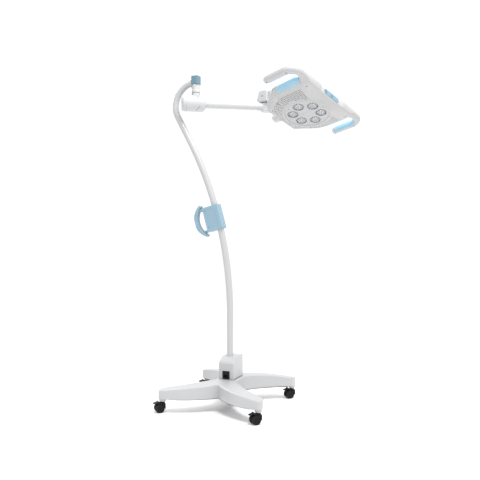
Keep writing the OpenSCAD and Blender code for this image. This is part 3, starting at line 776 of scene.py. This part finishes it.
def make_housing():
    low = (HOUSING_LOW.x - 5, HOUSING_LOW.y - 5, HOUSING_LOW.z - 5)
    high = (HOUSING_HIGH.x + 5, HOUSING_HIGH.y + 5, HOUSING_HIGH.z + 5)
    dress(net_object("housing_shell", housing_field, low, high, 2.5), "stand", paint, "white_enamel",
          "mains_housing")
    y0, z0 = HOUSING_LOW.y, (INLET_LOW.z + INLET_HIGH.z) / 2
    face = moved(0, y0, z0) @ rotation(90, "X")
    half_w, half_h = INLET_HIGH.x, (INLET_HIGH.z - INLET_LOW.z) / 2
    corners = rounded_rectangle(half_w, half_h, 3)
    socket = rounded_rectangle(13, 9, 3, 0, -7)
    switch = rounded_rectangle(12, 5.5, 1.5, 0, 11.5)
    parts = [plate("inlet_flange", [corners, socket, switch], -1.0, 1.8, 0.4, face),
             plate("inlet_back", [rounded_rectangle(19, 20, 1)], -16.5, -13, 0.3, face),
             plate("inlet_wall", [rounded_rectangle(16, 11, 3.5, 0, -7), socket], -14, 0, 0.2, face)]
    for x, y in ((-6, -9), (6, -9), (0, -4)):
        parts.append(plate("inlet_blade", [rounded_rectangle(1, 2.4, 0.4, x, y)], -14, -4, 0.2, face))
    rocker = face @ moved(0, 11.5, 0) @ rotation(7, "X")
    parts.append(plate("rocker", [rounded_rectangle(11.4, 5, 1)], -4, 1.4, 0.5, rocker))
    dress(join("mains_inlet_block", parts), "stand", black_plastic, "black_plastic", "mains_inlet")


def rounded_rectangle(half_w, half_h, r, x=0.0, y=0.0, sides=8):
    corners = []
    for sx, sy, start in ((1, 1, 0), (-1, 1, 90), (-1, -1, 180), (1, -1, 270)):
        for i in range(sides + 1):
            a = math.radians(start + 90 * i / sides)
            corners.append((x + sx * (half_w - r) + r * math.cos(a),
                            y + sy * (half_h - r) + r * math.sin(a)))
    return corners


make_housing()


# ---- pole ----

POLE_R = 19.0
POLE_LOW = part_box("pole_lower")[0].z / MM
BEND_START = 514.0
BEND_R = 2150.0
BEND_ANGLE = math.radians(28.5)
LEAN = 165.0
HOOK_R = 135.0


def pole_path():
    """The pole's centre line: straight foot, long bend, straight lean and the hook over to the mast."""
    points = [(0, 0, z) for z in np.linspace(POLE_LOW, BEND_START, 12)]
    for a in np.linspace(0, BEND_ANGLE, 60)[1:]:
        points.append((-BEND_R * (1 - math.cos(a)), 0, BEND_START + BEND_R * math.sin(a)))
    x, _, z = points[-1]
    lean_x, lean_z = -math.sin(BEND_ANGLE), math.cos(BEND_ANGLE)
    points += [(x + t * lean_x, 0, z + t * lean_z) for t in np.linspace(0, LEAN, 8)[1:]]
    x, _, z = points[-1]
    middle = (x + HOOK_R * lean_z, z - HOOK_R * lean_x)
    start = math.pi + BEND_ANGLE
    for a in np.linspace(start, math.pi / 2, 64)[1:]:
        points.append((middle[0] + HOOK_R * math.cos(a), 0, middle[1] + HOOK_R * math.sin(a)))
    return points


dress(tube("pole_tube", pole_path(), POLE_R), "stand", paint, "white_enamel", "pole_lower", "pole_upper")


# ---- push handle ----

HANDLE = moved(-BEND_R, 0, BEND_START) @ rotation(-15.4, "Y") @ moved(BEND_R, 0, 0)


PANEL_Y = 28.6
GRIP_X = -33.0
GRIP_R = 105.0
GRIP_HALF_W = 19.0
GRIP_HALF_ANGLE = 58.0


def clamp_field(p):
    """The block round the pole, with a crowned back and a sunk panel on each side."""
    block = box_field(p, (-75, -30, -72.5), (25, 30, 72.5), 4)
    crown = np.hypot(p[:, 0] - 67, p[:, 2]) - 162
    block = smooth_max(block, crown, 4)
    panel = box_field(p, (-70, -40, -58), (2, 40, 58), 6)
    sunk = np.maximum(panel, PANEL_Y - np.abs(p[:, 1]))
    return smooth_max(block, -sunk, 1.2)


def grip_field(p):
    """A bowed bar with flat sides, and an arm at each end."""
    x = p[:, 0] - GRIP_X
    r = np.hypot(x, p[:, 2])
    turn = np.degrees(np.abs(np.arctan2(p[:, 2], -x)))
    bar = smooth_max(np.abs(r - GRIP_R) - 11 + 4 * (turn / GRIP_HALF_ANGLE) ** 2,
                     np.abs(p[:, 1]) - GRIP_HALF_W, 4)
    bar = smooth_max(bar, (turn - GRIP_HALF_ANGLE) * 1.8, 1.5)
    q = p.copy()
    q[:, 2] = np.abs(q[:, 2])
    arm = box_field(q, (-100, -11, 57), (-74, 11, 71), 3)
    return smooth_min(bar, arm, 6)


def make_handle():
    dress(net_object("handle_block", clamp_field, (-90, -34, -78), (32, 34, 78), 2.0, HANDLE), "stand",
          handle_plastic, "handle_blue", "handle_clamp")
    dress(net_object("handle_bow", grip_field, (-146, -23, -104), (-68, 23, 104), 1.5, HANDLE), "stand",
          handle_plastic, "handle_blue", "handle_grip")
    heads = []
    for z in (-48, 48):
        for side in (-1, 1):
            place = HANDLE @ moved(-60, side * PANEL_Y, z) @ rotation(90 * side, "X")
            heads.append(screw("handle_screw", 3.4, place))
    for z in (-44, 44):
        x = GRIP_X - math.sqrt((GRIP_R + 1) ** 2 - z * z)
        heads.append(screw("grip_screw", 3.0, HANDLE @ moved(x, -GRIP_HALF_W, z) @ rotation(-90, "X")))
    dress(join("handle_bolts", heads), "stand", dark_steel, "steel", "handle_screws")


def screw(name, r, place, depth=5.0):
    """A cap screw seen from -Z outwards, with a hex socket, standing into +Z."""
    hexagon = circle(r * 0.5, sides=6)
    head = plate(name, [circle(r, sides=32), hexagon], 0, 1.6, 0.35, place)
    floor = plate(name + "_floor", [circle(r * 0.9, sides=32)], 1.2, depth, 0.2, place)
    return join(name, [head, floor])


make_handle()


# ---- mast head, cap and swivel ----

MAST_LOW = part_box("mast_head")[0].z / MM
CAP_LOW, CAP_HIGH = (v.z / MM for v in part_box("mast_cap"))
TUBE_Z = pole_path()[-1][2]


def mast_field(p):
    """The vertical socket under the hook's end, with a collar and a web under the hook."""
    post = drum_field(p, 2, MAST_LOW, CAP_LOW - 0.3, 23, 0.8)
    core = drum_field(p, 2, MAST_LOW, TUBE_Z + 20, 21.6, 2)
    collar = drum_field(p, 2, MAST_LOW, MAST_LOW + 14, 25, 2)
    side = [(0, MAST_LOW + 26), (-18, MAST_LOW + 26), (-53, TUBE_Z - 6), (0, TUBE_Z)]
    web = slab_field(p, side, (0, 2), -6, 6, 3)
    return np.minimum(smooth_min(smooth_min(post, collar, 3), web, 8), core)


def cap_field(p):
    """The square cap over the joint, with round corners and a notch for the pole."""
    plan = box_field(p, (-25, -25, CAP_LOW), (25, 25, CAP_HIGH), 5)
    column = np.stack([p[:, 0], p[:, 1], np.zeros(len(p))], 1)
    upright = box_field(column, (-25, -25, -50), (25, 25, 50), 15)
    body = smooth_max(plan, upright, 3)
    notch = np.hypot(p[:, 1], np.minimum(TUBE_Z - p[:, 2], 0)) - (POLE_R + 0.6)
    notch = np.maximum(notch, p[:, 0] + 2)
    hollow = drum_field(p, 2, CAP_LOW - 9, TUBE_Z + 22, 22)
    return np.maximum(np.maximum(body, -notch), -hollow)


def make_mast():
    dress(net_object("mast_socket", mast_field, (-60, -29, MAST_LOW - 4), (30, 29, TUBE_Z + 24), 1.8, MAST),
          "stand", coat, "white_coat", "mast_head")
    dress(net_object("mast_cover", cap_field, (-28, -28, CAP_LOW - 3), (28, 28, CAP_HIGH + 3), 1.25, MAST),
          "stand", cap_plastic, "cap_blue", "mast_cap")
    low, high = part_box("swivel_washer")
    z0, z1 = low.z / MM, high.z / MM
    ring = [(10.1, z0), (22.4, z0), (23, z0 + 0.5), (23, z1 - 0.5), (22.4, z1), (10.1, z1)]
    dress(lathe("swivel_ring", ring, MAST, 72, closed=True), "stand", black_plastic, "black_plastic",
          "swivel_washer")


make_mast()


# ---- arm ----

DRUM_R = 46.0


def drum_body_field(p):
    """The round housing at the arm's foot, tapering to the tube, with a slot for the swivel block."""
    r = np.hypot(p[:, 1], p[:, 2])
    barrel = np.maximum(r - DRUM_R, -60 - p[:, 0])
    taper = (r - 24 - (60 - p[:, 0]) * 1.35) * 0.6
    body = smooth_max(barrel, smooth_max(taper, p[:, 0] - 60, 4), 7)
    slot = box_field(p, (-56, -26, -21), (41, 26, 90), 3)
    body = smooth_max(body, -slot, 1)
    groove = np.abs(p[:, 0] - 38.5 + 0.92 * np.abs(p[:, 2])) * 0.735 - 1.2
    groove = np.maximum(groove, np.maximum(DRUM_R - 2.5 - r, 19 - np.abs(p[:, 2])))
    return np.maximum(body, -groove)


def end_hub_field(p):
    """The upright hub at the arm's end, blended into the sleeve on the tube."""
    q = p - (ARM_LEN, 0, 0)
    hub = drum_field(q, 2, -28, 24, 31, 3)
    sleeve = drum_field(p, 0, ARM_LEN - 52, ARM_LEN - 12, 22, 2)
    return smooth_min(hub, sleeve, 9)


def make_arm():
    housing = net_object("arm_housing", drum_body_field, (-64, -50, -50), (64, 50, 50), 1.2, ARM, 35)
    dress(housing, "arm", coat, "white_coat", "arm_drum")
    along = ARM @ rotation(90, "Y")
    cap = [(0, -60.3), (45.4, -60.3), (46, -61)]
    cap += [(32 + 14 * math.cos(a), -70.3 - 14 * math.sin(a)) for a in np.linspace(0, math.pi / 2, 12)]
    cap += [(16, -84.6), (0, -84.6)]
    cap = [(r, z if z > -84.3 else -84.3) for r, z in cap]
    dress(lathe("arm_housing_cap", cap, along, 96), "arm", coat, "white_coat", "drum_cap")
    length = ARM_LEN - 20
    rod = [(16.5, 43), (23.4, 43), (23.8, 43.4), (19, length), (18.6, length + 1), (16.5, length + 1)]
    dress(lathe("arm_rod", rod, along, 72, closed=True), "arm", coat, "white_coat", "arm_tube")
    dress(net_object("arm_hub", end_hub_field, (ARM_LEN - 56, -34, -32), (ARM_LEN + 34, 34, 28), 2.0, ARM),
          "arm", coat, "white_coat", "arm_end_hub")


make_arm()


# ---- knuckle and neck ----

def knuckle_field(p):
    """The forked block on the arm's end, its edges rounded and its rear sloping."""
    side = [(-30, 27), (-46, 42), (-30, 92), (-22, 99), (26, 99), (36, 88), (36, 27)]
    block = slab_field(p, side, (0, 2), -39, 39, 9)
    slot = box_field(p, (-26, -20, 40), (60, 20, 130), 2)
    ramp = np.maximum(np.abs(p[:, 1]) - 20, (14 - p[:, 0]) * 0.5 + (40 - p[:, 2]) * 0.87)
    ramp = np.maximum(ramp, 14 - p[:, 0])
    return smooth_max(np.maximum(block, -slot), -ramp, 1)


def neck_field(p):
    """The link from the tilt pin down to the roll bearing behind the head."""
    eye = drum_field(p, 1, -18.2, 18.2, 21, 2)
    web = slab_field(p, [(0, 21), (56, 21), (78, 4), (80, -152), (58, -152), (57, -12), (0, -12)], (0, 2),
                     -18.2, 18.2, 6)
    q = p - (0, 0, -152)
    bearing = drum_field(q, 0, 40, 80, 27, 2.5)
    return smooth_min(smooth_min(eye, web, 4), bearing, 9)


def make_neck():
    block = net_object("knuckle_block", knuckle_field, (-50, -43, 23), (40, 43, 103), 2.0, KNUCKLE)
    dress(block, "knuckle", coat, "white_coat", "knuckle")
    dress(net_object("neck_link", neck_field, (-25, -31, -183), (84, 31, 25), 2.0, NECK), "neck", coat,
          "white_coat", "neck")
    finish_cad(steel, "arm_pivot_pin", "yaw_pin", "pitch_pin", "arm_spigot", "roll_shaft")
    finish_cad(black_plastic, "yaw_washer")
    finish_cad(coat, "swivel_block")


make_neck()


# ---- head shells ----

NOSE_X = 168.0
RIM_Z = 28.0
SEAM_Z = 61.0
ROOF_Z = 97.0
SIDE_LOW = 209.0
SIDE_SLOPE = 42 / 45
FACE_R = 134.0
PANEL_R = 126.0
LAMP_HOLE_R = PANEL_R + 0.4
RAIL_Y = 325.0
RAIL_R = 21.0
RAIL_CORNER = 60.0
RAIL_TIP = -48.0
RAIL_TURN_X = NOSE_X + 3 - RAIL_R - RAIL_CORNER
HEAD_BACK = -192.0

half_plan = [(NOSE_X, 195), (NOSE_X - 14, SIDE_LOW), (-44, SIDE_LOW), (-70, 203), (-130, 160),
             (HEAD_BACK + 8, 126), (HEAD_BACK, 112)]
HEAD_PLAN = np.array(half_plan + [(x, -y) for x, y in reversed(half_plan)], float)


def rim_share(p):
    """0 on the flat lamp face, 1 at the body's rim, seen from below."""
    edge = -np.minimum(polygon_field(p[:, :2], HEAD_PLAN), 0)
    out = np.maximum(np.hypot(p[:, 0], p[:, 1]) - FACE_R, 0)
    return out / np.maximum(out + edge, 1e-3)


def rail_field(p):
    x, y, z = p[:, 0], np.abs(p[:, 1]), p[:, 2] - SEAM_Z
    q = np.stack([x, y, z], 1)
    side = rod_field(q, (RAIL_TIP + RAIL_R, RAIL_Y, 0), (RAIL_TURN_X, RAIL_Y, 0), RAIL_R)
    front_x = RAIL_TURN_X + RAIL_CORNER
    front = rod_field(q, (front_x, 120, 0), (front_x, RAIL_Y - RAIL_CORNER, 0), RAIL_R)
    bend = np.hypot(np.hypot(x - RAIL_TURN_X, y - RAIL_Y + RAIL_CORNER) - RAIL_CORNER, z) - RAIL_R
    bend = np.where((x > RAIL_TURN_X) & (y > RAIL_Y - RAIL_CORNER), bend, 1e3)
    return np.minimum(np.minimum(side, front), bend)


def head_field(p):
    """The outside of the head: domed body, sloping sides, flat lamp face, and a rail on each side."""
    spread = 1 + SIDE_SLOPE * (p[:, 2] - RIM_Z) / SIDE_LOW
    walls = polygon_field(np.stack([p[:, 0], p[:, 1] / spread], 1), HEAD_PLAN) * 0.75
    under = (RIM_Z * rim_share(p) - p[:, 2]) * 0.95
    fall = 24 * np.abs((p[:, 0] + 12) / 185) ** 3 + 26 * np.abs(p[:, 1] / 255) ** 3
    roof = (p[:, 2] - ROOF_Z + fall) * 0.95
    body = smooth_max(smooth_max(walls, under, 9), roof, 22)
    return smooth_min(body, rail_field(p), 22)


GRILLE_MARGIN = 15.0
GRILLE_FRONT = 100.0
GRILLE_IN = 140.0


def inset_lines(margin):
    """The straight edges of the grille opening, each as a point and an outward direction."""
    lines = [((GRILLE_FRONT, 0), (1.0, 0.0))]
    for a, b in zip(HEAD_PLAN, np.roll(HEAD_PLAN, -1, axis=0)):
        edge = (b - a) / np.linalg.norm(b - a)
        out = np.array([edge[1], -edge[0]])
        if out @ ((a + b) / 2) < 0:
            out = -out
        lines.append((tuple((a + b) / 2 - out * margin), tuple(out)))
    return lines


def in_grille(x, y, margin=0.0):
    """Is a point of the underside inside the grille opening, by at least margin?"""
    if math.hypot(x, y) < GRILLE_IN + margin:
        return False
    return all((x - a[0]) * out[0] + (y - a[1]) * out[1] < -margin for a, out in inset_lines(GRILLE_MARGIN))


def cut_openings(bm):
    """Opens the lamp hole and the grille in the underside of a bmesh in head millimetres."""
    for v in bm.verts:
        r = math.hypot(v.co.x, v.co.y)
        for target in (LAMP_HOLE_R, GRILLE_IN):
            if v.co.z < 12 and 0 < abs(r - target) < 1.8:
                v.co.x *= target / r
                v.co.y *= target / r
    for (x, y), out in inset_lines(GRILLE_MARGIN):
        low = [f for f in bm.faces if on_underside(f)]
        edges = dict.fromkeys(e for f in low for e in f.edges)
        verts = dict.fromkeys(v for f in low for v in f.verts)
        bmesh.ops.bisect_plane(bm, geom=[*low, *edges, *verts], plane_co=(x, y, 0), plane_no=(*out, 0))
    gone = []
    for f in bm.faces:
        c = f.calc_center_median()
        if on_underside(f) and (in_grille(c.x, c.y) or math.hypot(c.x, c.y) < LAMP_HOLE_R):
            gone.append(f)
    bmesh.ops.delete(bm, geom=gone, context="FACES")


def on_underside(face):
    """Is a face on the body's underside, away from the rails?"""
    c = face.calc_center_median()
    return c.z < 45 and face.normal.z < -0.25 and abs(c.y) < 225


def shell_object(name, verts, quads, seam, keep_low):
    """Half of the head's outside, cut at a height, opened if it is the lower half, and given a wall."""
    bm = bmesh.new()
    points = [bm.verts.new(v) for v in verts]
    for q in quads:
        bm.faces.new([points[i] for i in q])
    bmesh.ops.bisect_plane(bm, geom=bm.verts[:] + bm.edges[:] + bm.faces[:], plane_co=(0, 0, seam),
                           plane_no=(0, 0, 1), clear_outer=keep_low, clear_inner=not keep_low)
    bm.normal_update()
    if keep_low:
        cut_openings(bm)
    return walled(name, bm, 2.5, 50)


def walled(name, bm, thickness, sharp_degrees):
    """An object from a bmesh in head millimetres, with a wall on the inner side of its skin."""
    mesh = bpy.data.meshes.new(name)
    bm.to_mesh(mesh)
    bm.free()
    mesh.transform(HEAD @ Matrix.Scale(MM, 4))
    obj = link_object(name, mesh)
    wall = obj.modifiers.new("wall", "SOLIDIFY")
    wall.thickness = thickness * MM
    wall.offset = -1
    thick = final_mesh(obj)
    obj.modifiers.clear()
    obj.data = thick
    soften(obj, sharp_degrees)
    return obj


def surface_height(x, y):
    """Height of the underside at a point in the plan, by halving."""
    line = np.linspace(-5, SEAM_Z, 133)
    d = head_field(np.stack([np.full_like(line, x), np.full_like(line, y), line], 1))
    inside = np.argmax(d < 0)
    low, high = line[max(inside - 1, 0)], line[inside]
    for _ in range(20):
        mid = (low + high) / 2
        if head_field(np.array([[x, y, mid]]))[0] < 0:
            high = mid
        else:
            low = mid
    return high


def make_shells():
    verts, quads = surface_net(head_field, (-200, -354, -6), (180, 354, 104), 3.6)
    underside = shell_object("head_underside", verts, quads, SEAM_Z - 0.4, True)
    dress(underside, "head", shell_grey, "shell_grey", "head_lower_shell")
    top = shell_object("head_top", verts, quads, SEAM_Z + 0.4, False)
    dress(top, "head", shell_white, "shell_white", "head_upper_shell")


make_shells()


# ---- vent grille ----

HOLE_PITCH = 10.5
HOLE_R = 2.6


def grille_cells():
    """Square cells of the grille with a round hole where there is room: points and faces."""
    points, faces = {}, []

    def point(x, y):
        key = (round(x, 3), round(y, 3))
        if key not in points:
            points[key] = len(points)
        return points[key]

    turns = [math.radians(22.5 * k) for k in range(16)]
    reach = range(-21, 22)
    for i in reach:
        for j in reach:
            cx, cy = (i + 0.5) * HOLE_PITCH, (j + 0.5) * HOLE_PITCH
            if not in_grille(cx, cy, -HOLE_PITCH):
                continue
            if math.hypot(cx, cy) < GRILLE_IN - 4:
                continue
            rim = []
            for a in turns:
                reach_out = HOLE_PITCH / 2 / max(abs(math.cos(a)), abs(math.sin(a)))
                rim.append(point(cx + reach_out * math.cos(a), cy + reach_out * math.sin(a)))
            if in_grille(cx, cy, HOLE_R + 1.2):
                hole = [point(cx + HOLE_R * math.cos(a), cy + HOLE_R * math.sin(a)) for a in turns]
                for k in range(16):
                    n = (k + 1) % 16
                    faces.append([rim[k], rim[n], hole[n], hole[k]])
            else:
                faces.append(rim)
    return np.array(list(points), float), faces


def make_grille():
    flat, faces = grille_cells()
    height = RIM_Z * rim_share(np.column_stack([flat, np.zeros(len(flat))]))
    bm = bmesh.new()
    points = [bm.verts.new((x, y, z + 0.5)) for (x, y), z in zip(flat, height)]
    for f in faces:
        bm.faces.new([points[i] for i in reversed(f)])
    for (x, y), out in inset_lines(GRILLE_MARGIN + 0.5):
        bmesh.ops.bisect_plane(bm, geom=bm.verts[:] + bm.edges[:] + bm.faces[:], plane_co=(x, y, 0),
                               plane_no=(*out, 0), clear_outer=True)
    dress(walled("vent_mesh", bm, 1.6, 30), "head", grille_grey, "grille_grey", "vent_grille")


make_grille()


# ---- lamps ----

LAMP_RING_R = 80.0
LAMP_R = 29.0
LAMP_TURNS = [math.radians(30 + 60 * i) for i in range(6)]
LAMP_SPOTS = [(LAMP_RING_R * math.cos(a), LAMP_RING_R * math.sin(a)) for a in LAMP_TURNS]


def make_panel():
    """The round lamp panel, with a raised rim and a hole for each lamp."""
    holes = [circle(LAMP_R + 1.4, x, y) for x, y in LAMP_SPOTS]
    disc = plate("panel_disc", [circle(PANEL_R - 5, sides=128), *holes], 1.6, 5, 0.5, HEAD)
    rim = lathe("panel_rim", [(PANEL_R - 6, 1.8), (PANEL_R - 4.6, 0.4), (PANEL_R - 1, 0), (PANEL_R, 0.8),
                              (PANEL_R, 6), (PANEL_R - 6, 6)], HEAD, 128, closed=True)
    bezel = lathe("panel_bezel", [(PANEL_R + 0.6, 3), (PANEL_R + 0.6, -0.6), (PANEL_R + 3, -1.2),
                                  (PANEL_R + 8, -0.4), (PANEL_R + 9, 3)], HEAD, 128, closed=True)
    dress(join("lamp_plate", [disc, rim, bezel]), "head", shell_white, "shell_grey", "lamp_panel")


def cup_profile():
    """Half section of a reflector: rolled lip, polished bowl, outer skin."""
    bowl = [(28.0 - 19.0 * t ** 1.6, 2.0 + 22.0 * t) for t in np.linspace(0, 1, 14)]
    lip = [(30.2, 2.4), (30.8, 0.6), (30.2, -0.2), (28.8, 0.2)]
    return [*lip, *bowl, (9.0, 25.4), (10.6, 25.4), (30.2, 7.0)]


def make_lamps():
    cups, covers, emitters = [], [], []
    for x, y in LAMP_SPOTS:
        place = HEAD @ moved(x, y, 0)
        cups.append(lathe("cup", cup_profile(), place, 64, closed=True))
        covers.append(lathe("cover", [(0, 1.6), (14, 1.7), (24, 2.0), (27.6, 2.4), (27.6, 3.2), (24, 2.9),
                                      (14, 2.6), (0, 2.5)], place, 48))
        emitters.append(lathe("emitter", [(0, 17.5), (3.2, 18.0), (5.2, 20.0), (5.8, 22.5), (8.6, 23.0),
                                          (8.6, 26.5), (0, 26.5)], place, 32))
    # The cups' dark chrome colour is a painted reflection
    dress(join("lamp_cups", cups), "head", chrome_painted_dark, "chrome_cup", "reflectors")
    dress(join("lamp_covers", covers), "head", lens, "lens_clear", "lens_covers")
    dress(join("lamp_emitters", emitters), "head", led_phosphor, "led_yellow", "led_chips")
    finish_cad(board_green, "led_board", "driver_board")
    finish_cad(sink_metal, "heat_sink")


make_panel()
make_lamps()


# ---- grips, switches and screws on the head ----

def side_grip_field(side):
    """A soft pad laid over the body's sloping side, inside the hand rail."""
    low = Vector((0, SIDE_LOW, RIM_Z))
    slope = Vector((0, 42, 45)).normalized()

    def field(p):
        y = p[:, 1] * side - low.y
        z = p[:, 2] - low.z
        up = y * slope.y + z * slope.z
        q = np.stack([p[:, 0], up], 1)
        front, rear = np.array([96.0, 31.0]), np.array([-22.0, 29.0])
        axis = rear - front
        t = np.clip((q - front) @ axis / (axis @ axis), 0, 1)
        radius = 23.0 - 4.0 * t
        outline = np.linalg.norm(q - front - t[:, None] * axis, axis=1) - radius
        skin = head_field(p)
        bulge = 2.2 + 3.2 * np.clip(-outline / 18, 0, 1) ** 0.7
        return smooth_max(outline, np.maximum(skin - bulge, -2 - skin), 2.6)
    return field


def rail_grip_field(side):
    """A soft lining on the side of a rail that faces the body, round to the nose corner."""
    def field(p):
        x, y, z = p[:, 0], p[:, 1] * side, p[:, 2] - SEAM_Z
        turning = (x > RAIL_TURN_X) & (y > RAIL_Y - RAIL_CORNER)
        straight_in = RAIL_Y - y
        bend_in = RAIL_CORNER - np.hypot(x - RAIL_TURN_X, y - RAIL_Y + RAIL_CORNER)
        inward = np.where(turning, bend_in, straight_in)
        angle = np.degrees(np.arctan2(z, inward))
        around = (np.abs(angle + 5) - 62) * 0.37
        bend_angle = np.degrees(np.arctan2(y - RAIL_Y + RAIL_CORNER, x - RAIL_TURN_X))
        start = RAIL_TIP + 27 - x
        end = np.where(turning, (32 - bend_angle) * 1.0, -10.0)
        end = np.where((x > RAIL_TURN_X) & ~turning, 30.0, end)
        ends = np.maximum(start, end)
        skin = rail_field(p)
        return smooth_max(smooth_max(np.abs(skin) - 1.5, around, 1.5), ends, 2)
    return field


def make_grips():
    for side, word in ((-1, "right"), (1, "left")):
        low_y, high_y = sorted((side * 196, side * 290))
        pad = net_object("side_grip_" + word, side_grip_field(side), (-48, low_y, 16), (126, high_y, 92),
                         1.7, HEAD)
        dress(pad, "head", sky_rubber, "grip_blue", "grip_pad_" + word)
        low_y, high_y = sorted((side * 262, side * 330))
        lining = net_object("rail_grip_" + word, rail_grip_field(side), (-26, low_y, 34), (160, high_y, 90),
                            1.8, HEAD)
        dress(lining, "head", sky_rubber, "grip_blue", "rail_pad_" + word)


SWITCH_W = 136.0
SWITCH_H = 30.0
SWITCH_Z = 50.0


def make_switches():
    """The oval pad on the nose, with its two press buttons."""
    nose = HEAD @ moved(NOSE_X, 0, SWITCH_Z) @ rotation(90, "Y") @ rotation(90, "Z")
    power_y, dimmer_y = -54.0, 4.0
    holes = [circle(9.3, power_y, 0), circle(9.3, dimmer_y, 0)]
    pad = plate("switch_pad_skin", [pill(SWITCH_W, SWITCH_H), *holes], -1.5, 2.1, 0.7, nose)
    # The pad's colour is the grip blue with painted shade
    dress(pad, "head", switch_rubber_painted_shade, "grip_blue", "switch_pad")
    for y, body in ((power_y, "power_button"), (dimmer_y, "dimmer_button")):
        dome = [(0, 1.2), (8.6, 1.2), (8.9, 1.5), (8.9, 3.0), (8.2, 3.5), (6.0, 3.3), (4.5, 2.9), (0, 2.7)]
        button = lathe(body + "_cap", dome, nose @ moved(y, 0, 0), 48)
        dress(button, body, button_rubber, "button_blue", body)


SCREW_SPOTS = [(-28, 325), (106, 325), (136, 184), (-180, 113), (-88, 156)]


def make_head_screws():
    heads = []
    for x, y in SCREW_SPOTS:
        for side in (-1, 1):
            z = surface_height(x, side * y)
            heads.append(screw("head_screw", 4.2, HEAD @ moved(x, side * y, z - 0.3)))
    for turn in (0, 120, 240):
        x, y = 112 * math.cos(math.radians(turn)), 112 * math.sin(math.radians(turn))
        heads.append(screw("panel_screw", 2.6, HEAD @ moved(x, y, 1.2), 3.0))
    dress(join("head_bolts", heads), "head", dark_steel, "dark_screw", "head_screws")


make_grips()
make_switches()
make_head_screws()
